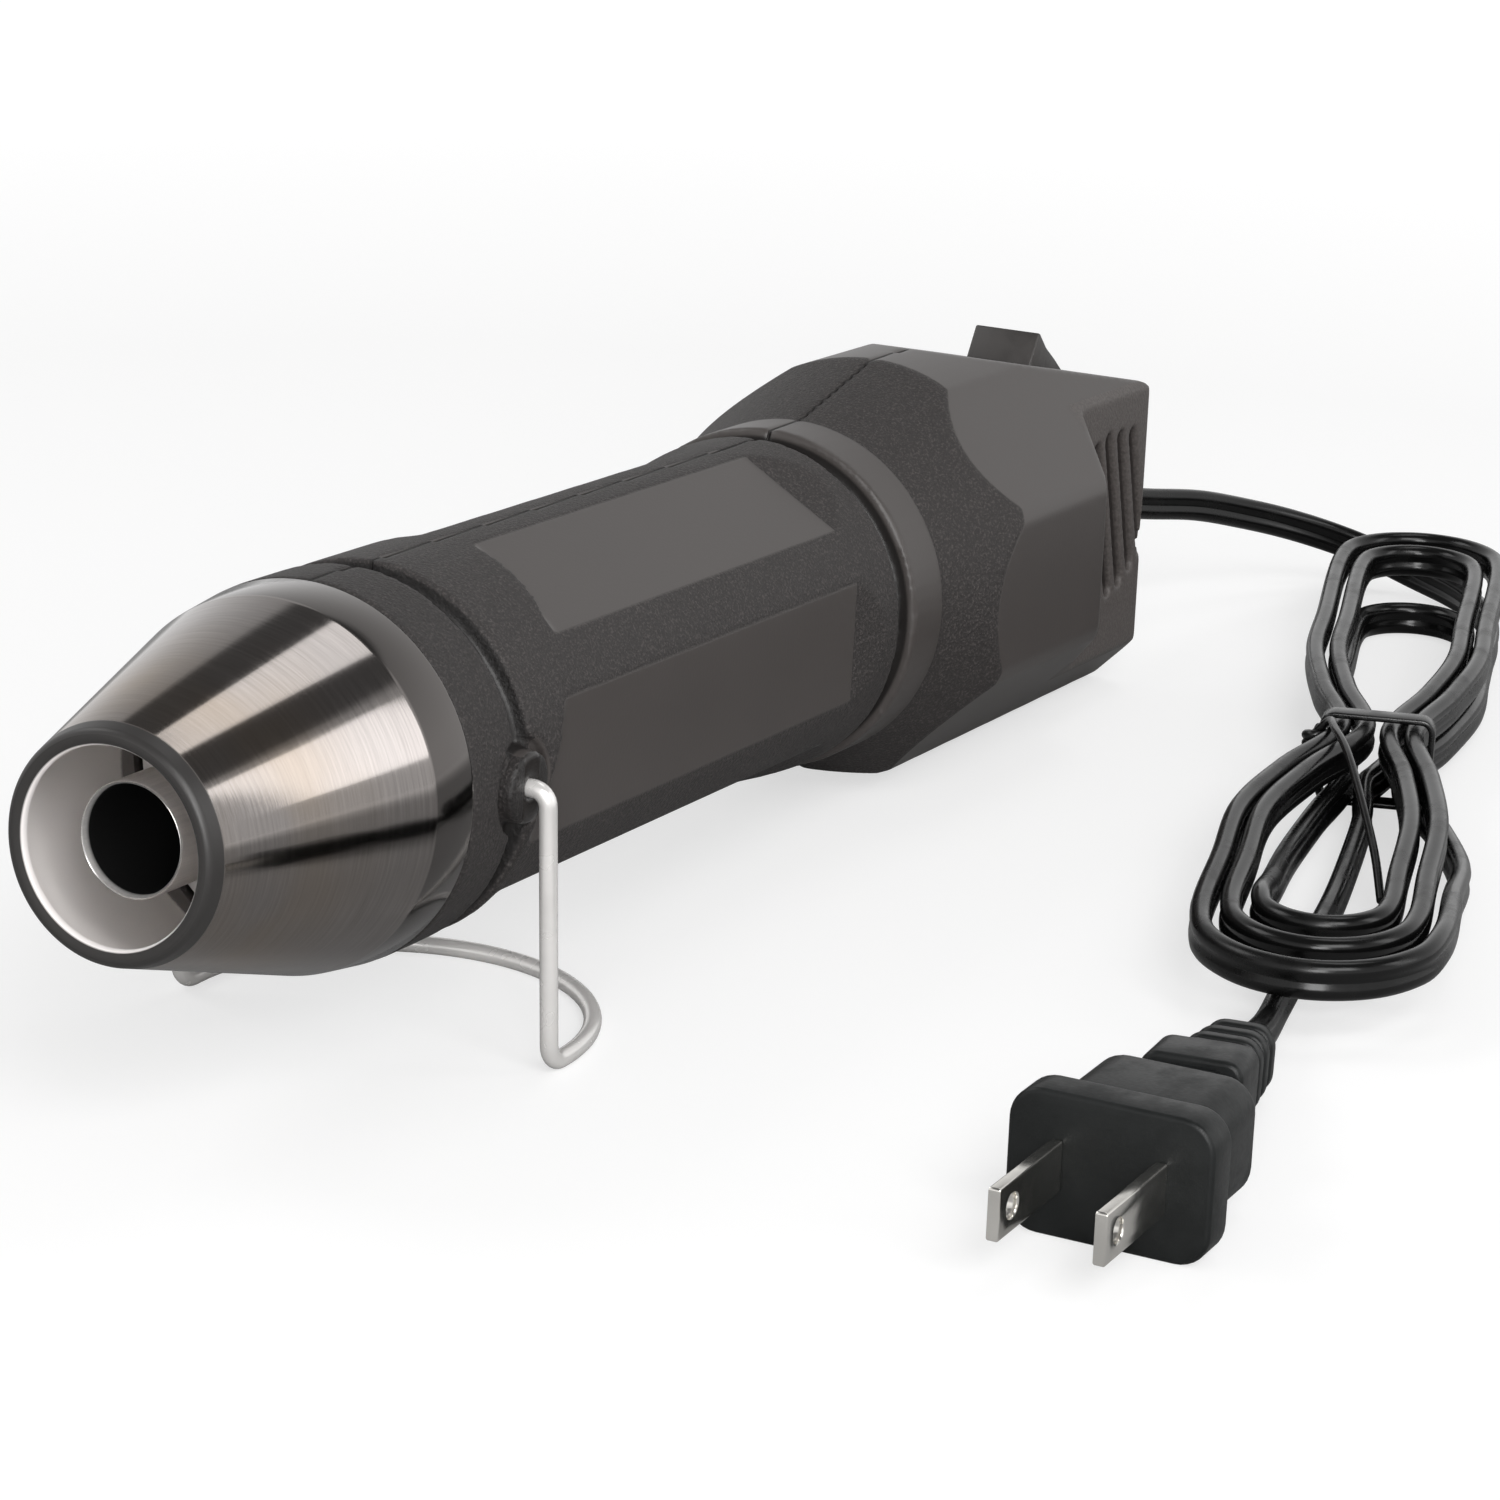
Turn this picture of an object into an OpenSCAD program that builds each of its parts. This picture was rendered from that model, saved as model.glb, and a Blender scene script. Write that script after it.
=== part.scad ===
// Hand-held heat tool for embossing powder: a round grip, a steel nozzle guard
// in front, a faceted motor end behind, a folding wire stand and a mains lead.
// Millimetres, Z up. It stands on its wire stand and its lower rear edge.
// The barrel is drawn along X from the plane of the guard's mouth, then placed.

/* [Nozzle guard] */
// outer radius of the mouth
mouth_r = 14; // [13.6:0.1:14.6]
// radius of the rolled rim's section
rim_roll = 1.1; // [0.9:0.1:1.3]
// length of the cone
guard_cone = 33.4; // [32.4:0.2:34.4]
// radius where the cone meets the skirt
guard_back_r = 23.1; // [22.8:0.1:23.3]
// length of the skirt
guard_skirt = 7.2; // [6.6:0.2:7.8]
// radius at the back of the skirt
skirt_r = 23.95; // [23.6:0.05:24]
// sheet thickness of the guard
guard_wall = 0.8; // [0.6:0.1:1]
// depth of the guard's spigot in the collar
spigot_len = 5.6; // [5:0.2:6]
// outer radius of the outlet tube
tube_r = 7; // [6.8:0.1:7.3]
// wall of the outlet tube
tube_wall = 0.45; // [0.4:0.05:0.55]
// how far the tube sits behind the guard's mouth
tube_set = 4.7; // [4:0.1:6]
// length of the outlet tube
tube_len = 83; // [82:0.5:84]

/* [Grip] */
// radius of the front collar
collar_r = 24; // [24:0.1:24.4]
// length of the front collar
collar_len = 10.2; // [9.8:0.2:10.4]
// width of the front groove
front_groove = 3.8; // [3.4:0.2:4.2]
// radius at the floor of both grooves
groove_r = 21.5; // [21.3:0.1:21.8]
// radius of the grip
grip_r = 23.9; // [23.7:0.1:24.2]
// length of the grip
grip_len = 102.3; // [101.3:0.5:103.3]
// width of the rear groove
rear_groove = 3.4; // [3:0.2:3.8]
// depth of each flat below the round of the grip
flat_depth = 1.66; // [1.4:0.02:1.8]
// where the flats' slanted front edge crosses the axis
flat_start = 60; // [59:0.5:62]
// slope of that edge from square, in degrees
flat_slant = 26.6; // [22:0.2:30]
// least distance of a flat from the front groove
flat_margin = 1.9; // [1.5:0.1:2.5]
// length of flat before its rear ramp
flat_end = 145.5; // [144.5:0.5:146.5]
// angle of the rear ramp
flat_ramp = 13; // [11:0.5:15]
// wall of the moulded shells
shell_wall = 2; // [1.9:0.05:2.1]

/* [Motor end] */
// radius of the smooth flange
flange_r = 24.55; // [24.5:0.05:24.8]
// length of the smooth flange
flange_len = 9.1; // [8.7:0.1:9.5]
// half of the width across the facets
facet_r = 28.4; // [28.1:0.1:28.7]
// radius that softens the facet corners
corner_r = 30.3; // [30.1:0.1:30.5]
// slope of the top of the flare, in degrees
flare_top = 14.25; // [13.5:0.25:15]
// slope of the bottom of the flare, in degrees
flare_bottom = 28.6; // [27.6:0.2:29.6]
// place of the highest point of the top plane along the barrel
crest_at = 197.5; // [197:0.5:198]
// height of the top plane at that place
crest_u = 31.7; // [31.5:0.1:31.9]
// fall of the top plane towards the rear, in degrees
top_fall = 10.6; // [10.4:0.1:10.8]
// length of the barrel from the mouth to the rear face
rear_at = 257; // [256.5:0.5:258]
// radius of the upper rear edge
rear_round = 4.5; // [3.5:0.5:5]
// radius of the upright rear edges
side_round = 2.5; // [1.5:0.5:3]
// where the vent recess starts along the side facets
recess_at = 219; // [218:0.5:220]
// where its floor starts
recess_floor_at = 228; // [227.5:0.5:228.5]
// half of the width between the two recess floors
recess_r = 19.6; // [19.4:0.1:19.9]
// width of a vent slot
slot_w = 2.6; // [2.2:0.1:2.8]
// distance between slots along the barrel
slot_pitch = 4.35; // [4.2:0.05:4.5]
// slant of the slots from upright, in degrees
slot_slant = 19.2; // [18:0.2:20.4]
// length of the longest slot
slot_len = 27; // [26:0.5:27.5]

/* [Switch] */
// place of the rocker's middle along the barrel
rocker_at = 245.6; // [245.4:0.1:245.8]
// half of the rocker's width
rocker_half = 5.5; // [5.2:0.1:5.6]
// height of the rocker's raised front
rocker_rise = 5.1; // [4.6:0.1:5.3]
// depth of the pivot below the top plane
pivot_depth = 3.5; // [3.4:0.1:3.6]
// radius of the rocker's pin
pin_r = 1; // [0.9:0.05:1.1]
// depth of the switch body
switch_depth = 13; // [12.5:0.5:13.5]

/* [Stand] */
// radius of the stand's wire
wire_r = 1.15; // [1.05:0.05:1.25]
// place of the stand's hinge along the barrel
hinge_at = 52.6; // [52.4:0.1:52.8]
// half of the distance between the legs
leg_half = 27; // [26.8:0.1:27.4]
// length of the legs
leg_len = 35.7; // [35.2:0.1:36.2]
// lean of the legs to the rear, in degrees
leg_lean = 5.5; // [5:0.25:6]
// bend radius at the feet
foot_bend = 3; // [2.6:0.2:3.4]
// straight wire between the bend and the foot's arc
foot_run = 1; // [0.6:0.2:1.4]
// radius of the hinge lugs
lug_r = 4.5; // [4.2:0.1:4.8]

/* [Drive] */
// radius of the motor
motor_r = 13.9; // [13.5:0.1:14.2]
// length of the motor
motor_len = 33; // [31:0.5:34]
// radius of the fan
fan_r = 17.5; // [16.5:0.5:18]
// number of fan blades
fan_blades = 7; // [5:1:9]
// radius of the motor shaft
shaft_r = 1; // [0.9:0.05:1.1]
// play between a turning pin and its hole
run_play = 0.04; // [0.03:0.01:0.06]

/* [Heater] */
// radius of the heating coil's middle line
coil_r = 4.96; // [4.9:0.02:5.1]
// turns of the heating coil
coil_turns = 11; // [9:1:12]

/* [Lead] */
// width of the flat lead
cord_w = 5.3; // [5.1:0.1:5.4]
// thickness of the flat lead
cord_t = 2.9; // [2.7:0.1:3]
// length of the strain relief outside the housing
relief_len = 18; // [16:1:19]
// width of the plug's face
plug_w = 25; // [24:0.5:26]
// height of the plug's face
plug_h = 17.5; // [17:0.25:18]
// distance between the two blades
blade_pitch = 12.7; // [12.5:0.1:12.9]
// free length of a blade
blade_len = 17; // [16:0.5:18]
// height of a blade
blade_h = 6.35; // [6:0.05:6.6]

/* [Hidden] */
$fn = 72;

// small clearances that repeat
thin = 0.05;
seat_play = 0.1;
sheet = 0.6;

// stations along the barrel
collar_at = guard_cone + guard_skirt;
groove_at = collar_at + collar_len;
grip_at = groove_at + front_groove;
grip_end = grip_at + grip_len;
flange_at = grip_end + rear_groove;
flare_at = flange_at + flange_len;
spigot_r = collar_r - shell_wall - 0.3 * shell_wall;
lip_at = collar_at + spigot_len + 0.8 * shell_wall;
lip_r = groove_r - shell_wall;
bore_r = grip_r - flat_depth - shell_wall;
lip_end = grip_at + shell_wall;
rear_lip_at = grip_end - shell_wall;
rear_lip_end = flange_at + shell_wall;
flange_bore = lip_r + 0.65 * shell_wall;

// oblique cone of the flare, from its top and bottom slopes
cone_half = (flare_top + flare_bottom) / 2;
cone_tilt = (flare_bottom - flare_top) / 2;
flare_r = flange_r - 0.15;
apex_back = 2 * flare_r / (tan(flare_top) + tan(flare_bottom));
apex_s = flare_at - apex_back;
apex_u = flare_r - apex_back * tan(flare_top);
cone_len = 1.7 * facet_r / tan(cone_half) + apex_back;
flare_from = flare_at - shell_wall;

rear_lean = 2.4;
// resting pose: the wire's foot and the lower rear edge stand on the floor
foot_s = hinge_at + leg_len * sin(leg_lean);
foot_u = leg_len * cos(leg_lean);
heel_s = rear_at + facet_r * tan(rear_lean);
heel_run = heel_s - foot_s;
heel_rise = foot_u - facet_r;
rest_pitch = asin(wire_r / norm([heel_run, heel_rise])) + atan(heel_rise / heel_run);
mouth_z = heel_s * sin(rest_pitch) + facet_r * cos(rest_pitch);
front_x = -mouth_r * sin(rest_pitch);
back_x = heel_s * cos(rest_pitch) - facet_r * sin(rest_pitch);
mid_x = (front_x + back_x) / 2;

function placed(s, y, u) = [
    s * cos(rest_pitch) + u * sin(rest_pitch) - mid_x,
    y,
    mouth_z - s * sin(rest_pitch) + u * cos(rest_pitch)];

module tool() {
    translate([-mid_x, 0, mouth_z]) rotate([0, rest_pitch, 0]) children();
}

module barrel(s, len, r) {
    translate([s, 0, 0]) rotate([0, 90, 0]) cylinder(h = len, r = r);
}

module taper(s, len, r1, r2) {
    translate([s, 0, 0]) rotate([0, 90, 0]) cylinder(h = len, r1 = r1, r2 = r2);
}

module crosswise(s, u, y, len, r) {
    translate([s, y, u]) rotate([-90, 0, 0]) cylinder(h = len, r = r);
}

module side_profile(width) {
    rotate([90, 0, 0]) linear_extrude(height = width, center = true) children();
}

// housing form

function top_u(s) = crest_u - (s - crest_at) * tan(top_fall);

module grip_flat() {
    depth_r = grip_r - flat_depth;
    ramp_end = flat_end + 2 * flat_depth / tan(flat_ramp);
    side_profile(grip_r)
        polygon([[grip_at + flat_margin, depth_r], [flat_end, depth_r],
            [ramp_end, grip_r + flat_depth], [grip_at + flat_margin, grip_r + flat_depth]]);
}

module flats() {
    intersection() {
        for (turn = [30, 90, 150, 210, 270, 330]) rotate([turn, 0, 0]) grip_flat();
        translate([flat_start, 0, 0]) rotate([0, flat_slant, 0])
            translate([0, -grip_len, -grip_len]) cube([2 * grip_len, 2 * grip_len, 2 * grip_len]);
    }
}

module facet_prism(inset) {
    a = facet_r - inset;
    t = a * tan(22.5);
    translate([flare_from, 0, 0]) rotate([90, 0, 90])
        linear_extrude(height = rear_at - flare_from + 4 * shell_wall)
            polygon([[-t, -a], [t, -a], [a, -t], [a, t], [0, a * sqrt(2)], [-a, t], [-a, -t]]);
}

// side view of the motor end: the falling top plane and its rounded rear corner
module top_profile(inset) {
    turn = 90 - top_fall - rest_pitch;
    round_r = rear_round - inset / 2;
    back_s = rear_at - inset / cos(rest_pitch);
    plane_u = crest_u - inset / cos(top_fall);
    corner_s = (back_s + (-plane_u - crest_at * tan(top_fall)) * tan(rest_pitch))
        / (1 - tan(top_fall) * tan(rest_pitch));
    corner_u = plane_u - (corner_s - crest_at) * tan(top_fall);
    cut = round_r * tan(turn / 2);
    low_u = -2 * facet_r;
    union() {
        polygon([[flare_from, low_u],
            [back_s - low_u * tan(rest_pitch), low_u],
            [corner_s + cut * sin(rest_pitch), corner_u - cut * cos(rest_pitch)],
            [corner_s - cut * cos(top_fall), corner_u + cut * sin(top_fall)],
            [flare_from, plane_u + (crest_at - flare_from) * tan(top_fall)]]);
        translate([corner_s - cut * cos(top_fall) - round_r * sin(top_fall),
            corner_u + cut * sin(top_fall) - round_r * cos(top_fall)]) circle(r = round_r);
    }
}

// plan view of the motor end: side facets, the two vent recesses and the rear face
module plan_profile(inset) {
    turn = atan((facet_r - recess_r) / (recess_floor_at - recess_at));
    wide = 2 * facet_r;
    slope_s = recess_at - inset / sin(turn);
    floor_s = recess_floor_at - inset * tan(turn / 2);
    floor_r = recess_r - inset;
    back_s = rear_at - inset / cos(rest_pitch);
    start_s = slope_s - (wide - facet_r) / tan(turn);
    union() {
        polygon([[flare_from, -wide], [start_s, -wide], [floor_s, -floor_r],
            [back_s - side_round, -floor_r], [back_s, side_round - floor_r],
            [back_s, floor_r - side_round], [back_s - side_round, floor_r],
            [floor_s, floor_r], [start_s, wide], [flare_from, wide]]);
        for (side = [-1, 1])
            translate([back_s - side_round, side * (floor_r - side_round)])
                circle(r = side_round);
    }
}

module motor_end(inset) {
    intersection() {
        translate([apex_s, 0, apex_u]) rotate([0, 90 + cone_tilt, 0])
            translate([0, 0, inset / sin(cone_half)])
                cylinder(h = cone_len, r1 = 0, r2 = cone_len * tan(cone_half));
        facet_prism(inset);
        barrel(flare_from, rear_at, corner_r - inset);
        side_profile(4 * facet_r) top_profile(inset);
        translate([rear_at, 0, 0]) rotate([0, -rest_pitch, 0]) translate([-rear_at, 0, 0])
            linear_extrude(height = 4 * facet_r, center = true) plan_profile(inset);
    }
}

module slot(s, u, len, side) {
    translate([s, side * (recess_r - 2 * shell_wall), u])
        rotate([90, 0, 0]) rotate([0, 0, slot_slant])
            linear_extrude(height = 4 * shell_wall, center = true) {
                square([slot_w, len - slot_w], center = true);
                for (end = [-1, 1]) translate([0, end * (len - slot_w) / 2]) circle(d = slot_w);
            }
}

module vents() {
    for (side = [-1, 1], i = [0 : 4])
        slot(slot_mid_s + i * slot_pitch, slot_mid_u + slot_climb * max(i - 1, 0),
            slot_len - slot_cut * max(i - 2, 0), side);
}

slot_mid_s = recess_floor_at + 6.65;
slot_mid_u = 1.3;
slot_climb = 0.9;
slot_cut = 2.2;

screw_r = 1.3;
screw_head_r = 2.6;
screw_len = 16;
boss_r = 3.2;
seat_depth = 4.3;
front_screw = 6.9;
mid_screw = 29.4;
flange_screw = 5.7;
rear_screw = 14;
screw_spots = [[grip_at + front_screw, -14.6], [grip_at + mid_screw, 14.8],
    [flange_at + flange_screw, 18.2], [flange_at + flange_screw, -18.2],
    [rear_at - rear_screw, -19.8]];

module boss(spot, side) {
    crosswise(spot[0], spot[1], side > 0 ? 0 : -grip_r, grip_r, boss_r);
}

module shell_solid() {
    barrel(collar_at, collar_len, collar_r);
    barrel(groove_at - thin, front_groove + 2 * thin, groove_r);
    difference() {
        barrel(grip_at, grip_len, grip_r);
        flats();
    }
    barrel(grip_end - thin, rear_groove + 2 * thin, groove_r);
    barrel(flange_at, flange_len, flange_r);
    motor_end(0);
}

module shell_hollow() {
    barrel(collar_at - thin, spigot_len + 0.8 * shell_wall + thin, spigot_r + seat_play);
    barrel(lip_at - thin, lip_end - lip_at + 2 * thin, lip_r);
    barrel(lip_end, rear_lip_at - lip_end, bore_r);
    barrel(rear_lip_at - thin, rear_lip_end - rear_lip_at + 2 * thin, lip_r);
    barrel(rear_lip_end, flare_at - rear_lip_end, flange_bore);
    motor_end(shell_wall);
}

rail_at = rear_at - 57;
rail_len = 14;
rail_r = 12;
rail_u = 4;
board_u = 7;

module shell_inside(side) {
    intersection() {
        union() {
            for (spot = screw_spots) boss(spot, side);
            translate([rail_at, side > 0 ? rail_r : -2 * facet_r, rail_u])
                cube([rail_len, 2 * facet_r - rail_r, board_u - rail_u]);
        }
        union() {
            barrel(lip_at + shell_wall, rear_lip_end - lip_at - shell_wall, lip_r + shell_wall / 2);
            barrel(rear_lip_end - shell_wall / 2, flare_at - rear_lip_end, (flange_bore + flange_r) / 2);
            motor_end(shell_wall / 2);
        }
    }
}

lug_reach = leg_half - 2 * wire_r;
lug_root = 17.4;
lug_hole_from = 18.6;
pocket_r = 6;
pocket_floor = 22.05;

module half(side) {
    difference() {
        union() {
            difference() {
                shell_solid();
                shell_hollow();
                crosswise(hinge_at, 0, side > 0 ? pocket_floor : -grip_len, grip_len - pocket_floor,
                    pocket_r);
            }
            shell_inside(side);
            crosswise(hinge_at, 0, side > 0 ? lug_root : -lug_reach, lug_reach - lug_root, lug_r);
        }
        crosswise(hinge_at, 0, side > 0 ? lug_hole_from : -grip_len, grip_len - lug_hole_from,
            wire_r + run_play);
        for (spot = screw_spots) screw_hole(spot, side);
        vents();
        switch_frame() translate([switch_front, -switch_half, -switch_depth])
            cube([switch_back - switch_front, 2 * switch_half, 2 * switch_depth]);
        relief_frame() translate([-rear_at / 2, 0, 0]) rotate([0, 90, 0])
            cylinder(h = rear_at, r = relief_neck_r + thin);
        translate([-rear_at / 2, side > 0 ? -2 * rear_at : 0, -rear_at])
            cube([2 * rear_at, 2 * rear_at, 2 * rear_at]);
    }
}

module screw_hole(spot, side) {
    if (side > 0) {
        crosswise(spot[0], spot[1], 0, grip_len, screw_r + seat_play);
        crosswise(spot[0], spot[1], screw_seat(spot), grip_len, screw_head_r + seat_play);
    } else {
        crosswise(spot[0], spot[1], screw_seat(spot) - screw_len - shell_wall,
            grip_len, screw_r + thin);
    }
}

// depth of each screw's seat from the middle plane
function screw_seat(spot) = seat_depth + abs(spot[1]) / 4;

module left_shell() {
    color([0.23, 0.22, 0.21]) tool() half(-1);
}

module right_shell() {
    color([0.23, 0.22, 0.21]) tool() half(1);
}

module housing_screws() {
    color([0.5, 0.5, 0.52]) tool()
        for (spot = screw_spots) {
            crosswise(spot[0], spot[1], screw_seat(spot) - screw_len, screw_len + thin, screw_r);
            difference() {
                crosswise(spot[0], spot[1], screw_seat(spot), shell_wall, screw_head_r);
                for (turn = [0, 90])
                    translate([spot[0], screw_seat(spot) + shell_wall, spot[1]]) rotate([0, turn, 0])
                        cube([screw_head_r, shell_wall, sheet], center = true);
            }
        }
}

// nozzle

function guard_r(s) = mouth_r + (guard_back_r - mouth_r) * (s - rim_roll) / (guard_cone - rim_roll);

module nozzle_shield() {
    color([0.72, 0.7, 0.68]) tool() rotate([0, 90, 0]) rotate_extrude() {
        translate([mouth_r - rim_roll, rim_roll]) circle(r = rim_roll);
        polygon([[mouth_r - guard_wall, rim_roll], [mouth_r, rim_roll],
            [guard_back_r, guard_cone], [skirt_r, collar_at], [spigot_r, collar_at],
            [spigot_r, collar_at + spigot_len], [spigot_r - guard_wall, collar_at + spigot_len],
            [spigot_r - guard_wall, collar_at - guard_wall],
            [skirt_r - guard_wall, collar_at - guard_wall],
            [guard_back_r - guard_wall, guard_cone]]);
    }
}

module outlet_tube() {
    color([0.75, 0.75, 0.76]) tool() difference() {
        barrel(tube_set, tube_len, tube_r);
        barrel(tube_set - thin, tube_len + 2 * thin, tube_r - tube_wall);
    }
}

module tube_washer() {
    washer_at = collar_at + spigot_len;
    color([0.7, 0.66, 0.55]) tool() difference() {
        barrel(washer_at, lip_at - washer_at, spigot_r);
        barrel(washer_at - thin, shell_wall, tube_r + thin);
        for (turn = [0 : 45 : 315]) rotate([turn, 0, 0])
            translate([0, 0, (tube_r + spigot_r) / 2]) barrel(washer_at - thin, shell_wall, 3 * sheet);
    }
}

funnel_grip = 3.7;
funnel_at = tube_set + tube_len - funnel_grip;
funnel_neck = 7;
funnel_mouth_at = funnel_at + 32;
funnel_rim = 3;

module air_funnel() {
    neck_r = tube_r + thin + sheet;
    mouth_outer = bore_r - thin;
    color([0.66, 0.67, 0.68]) tool() rotate([0, 90, 0]) rotate_extrude()
        polygon([[tube_r + thin, funnel_at], [neck_r, funnel_at],
            [neck_r, funnel_at + funnel_neck - sheet], [mouth_outer, funnel_mouth_at - sheet],
            [mouth_outer, funnel_mouth_at + funnel_rim],
            [mouth_outer - sheet, funnel_mouth_at + funnel_rim],
            [mouth_outer - sheet, funnel_mouth_at], [tube_r + thin, funnel_at + funnel_neck]]);
}

// heater

sleeve_r = 6.5;
sleeve_wall = 0.4;
former_at = 50;
former_len = 36;
former_half = 4.6;
coil_wire = 0.33;

module mica_sleeve() {
    color([0.8, 0.75, 0.62]) tool() difference() {
        barrel(former_at - shell_wall, tube_set + tube_len - former_at + shell_wall, sleeve_r);
        barrel(former_at - 2 * shell_wall, tube_len, sleeve_r - sleeve_wall);
    }
}

module mica_former() {
    color([0.83, 0.79, 0.68]) tool() {
        for (turn = [0, 90]) rotate([turn, 0, 0])
            translate([former_at, -former_half, -sheet / 2]) cube([former_len, 2 * former_half, sheet]);
        difference() {
            barrel(former_at + former_len, sheet, sleeve_r - sleeve_wall - thin);
            for (turn = [45 : 90 : 315]) rotate([turn, 0, 0])
                translate([0, 0, former_half - sheet]) barrel(former_at, 2 * former_len, 2 * sheet);
        }
    }
}

module heating_coil() {
    steps = 12;
    run = former_len - 4 * sheet;
    rings = [for (i = [0 : coil_turns * steps]) let (a = 360 * i / steps)
        [for (k = [0 : 5]) let (r = coil_r + coil_wire * cos(60 * k))
            [former_at + 2 * sheet + run * i / (coil_turns * steps) + coil_wire * sin(60 * k),
                r * cos(a), r * sin(a)]]];
    color([0.55, 0.5, 0.48]) tool() skin(rings);
}

module thermal_cutout() {
    cutout_at = former_at + former_len + sheet;
    color([0.75, 0.74, 0.7]) tool() {
        barrel(cutout_at, 3 * shell_wall, former_half / 2);
        barrel(cutout_at + 3 * shell_wall, shell_wall, sheet);
    }
}

// drive

motor_front = 4.9;
motor_at = rear_lip_at - motor_front;
can_wall = 1;
bearing_r = 2.5;
core_r = 11;
core_at = motor_at + 6;
core_len = 20;
fan_at = motor_at - 20;
fan_hub_r = 4.5;
fan_hub_len = 13;
fan_chord = 11;

module motor_can() {
    color([0.62, 0.62, 0.64]) tool() difference() {
        union() {
            barrel(motor_at, motor_len, motor_r);
            barrel(motor_at + motor_len, shell_wall, bearing_r + shell_wall);
        }
        barrel(motor_at + can_wall, motor_len - 3 * can_wall, motor_r - 1.2 * can_wall);
        barrel(motor_at - thin, 2 * can_wall, bearing_r);
        barrel(motor_at + motor_len - 3 * can_wall, 2 * can_wall + shell_wall, shaft_r + run_play);
    }
}

module motor_mount() {
    mount_at = rear_lip_at - 2 * shell_wall;
    color([0.3, 0.3, 0.31]) tool() difference() {
        barrel(mount_at, 2 * shell_wall, bore_r - thin);
        barrel(mount_at - thin, 3 * shell_wall, motor_r + thin);
        for (turn = [0 : 60 : 300]) rotate([turn, 0, 0])
            translate([0, 0, (motor_r + bore_r) / 2]) barrel(mount_at - thin, 3 * shell_wall, shell_wall);
    }
}

module motor_bearing() {
    color([0.7, 0.58, 0.3]) tool() difference() {
        barrel(motor_at - can_wall, 2 * can_wall, bearing_r);
        barrel(motor_at - 2 * can_wall, 4 * can_wall, shaft_r + run_play);
    }
}

module motor_shaft() {
    color([0.6, 0.6, 0.62]) tool() {
        barrel(fan_at - shell_wall, motor_at + motor_len - fan_at + shell_wall, shaft_r);
        barrel(core_at, core_len, core_r);
    }
}

module fan_wheel() {
    color([0.2, 0.2, 0.2]) tool() difference() {
        intersection() {
            union() {
                barrel(fan_at, fan_hub_len, fan_hub_r);
                for (k = [1 : fan_blades]) rotate([k * 360 / fan_blades, 0, 0])
                    translate([fan_at + fan_hub_len / 2, 0, (fan_hub_r + fan_r) / 2])
                        rotate([0, 0, 35]) cube([fan_chord, can_wall, fan_r], center = true);
            }
            barrel(fan_at - fan_chord, 3 * fan_chord, fan_r);
        }
        barrel(fan_at - fan_chord, 3 * fan_chord, shaft_r);
    }
}

// electrics

board_at = rear_at - 59;
board_len = 32;
board_half = 13;
board_t = 1.6;

module rectifier_board() {
    color([0.2, 0.36, 0.22]) tool() {
        translate([board_at, -board_half, board_u]) cube([board_len, 2 * board_half, board_t]);
        for (k = [0 : 3]) translate([board_at + 4 * board_t, (k - 1.5) * 4 * board_t, board_u + board_t])
            translate([0, 0, board_t]) rotate([0, 90, 0]) cylinder(h = 4 * board_t, r = board_t);
        translate([board_at + board_len * 0.7, 0, board_u + board_t / 2])
            cylinder(h = 5 * board_t, r = 3 * board_t);
    }
}

wire_t = 0.7;
wire_to_motor = [[motor_at + motor_len + shell_wall + seat_play, -6, 0], [190, -6, 0.5], [194, -7, 2],
    [198, -8, 3.5], [203, -8, 5.2], [208, -8, 6.3]];
wire_to_switch = [[230.7, 5, 7.8], [233, 5, 7.8], [236, 4.5, 8.3], [240, 3.5, 8.3]];
wire_to_relief = [[230.7, -6, 7.8], [234, -6, 7.2], [238, -5, 4], [242, -3, 0], [247, -1, -4], [252, 0, -6]];

module inner_wires() {
    color([0.6, 0.15, 0.12]) tool()
        for (path = [wire_to_motor, wire_to_switch, wire_to_relief])
            skin(cord_rings(path, wire_t, wire_t, path[1] - path[0],
                path[len(path) - 1] - path[len(path) - 2]));
}

// switch, drawn with X along the top plane and Z out of it

switch_front = -8.7;
switch_back = 8.4;
switch_half = 6.6;
switch_wall = 0.8;
// side view of the rocker: places along the top plane with their shares of its rise
rocker_crown = [[-6.7, 0], [-4.8, 1], [-4.3, 1], [-1.2, 0.62], [2.6, 0.33], [6.4, 0]];
rocker_root = 5.4;

module switch_frame() {
    translate([rocker_at, 0, top_u(rocker_at)]) rotate([0, top_fall, 0]) children();
}

module switch_body() {
    cavity_r = 9.6;
    color([0.1, 0.1, 0.1]) tool() switch_frame() difference() {
        union() {
            translate([switch_front + thin, thin - switch_half, -switch_depth])
                cube([switch_back - switch_front - 2 * thin, 2 * switch_half - 2 * thin, switch_depth]);
            for (side = [-1, 1]) translate([side * 3 * switch_wall, -shell_wall, -switch_depth - shell_wall])
                cube([switch_wall, 2 * shell_wall, 2 * shell_wall]);
        }
        translate([switch_front + switch_wall, -rocker_half - thin, -cavity_r])
            cube([switch_back - switch_front - 2 * switch_wall, 2 * rocker_half + 2 * thin, 2 * cavity_r]);
        translate([0, -facet_r, -pivot_depth]) rotate([-90, 0, 0])
            cylinder(h = 2 * facet_r, r = pin_r);
    }
}

module switch_rocker() {
    foot = 1.5;
    color([0.07, 0.07, 0.08]) tool() switch_frame() difference() {
        side_profile(2 * rocker_half)
            polygon(concat([for (p = rocker_crown) [p[0], rocker_rise * p[1]]],
                [[rocker_root, -pivot_depth - foot], [-rocker_root, -pivot_depth - foot]]));
        translate([0, -facet_r, -pivot_depth]) rotate([-90, 0, 0])
            cylinder(h = 2 * facet_r, r = pin_r + run_play);
    }
}

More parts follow.
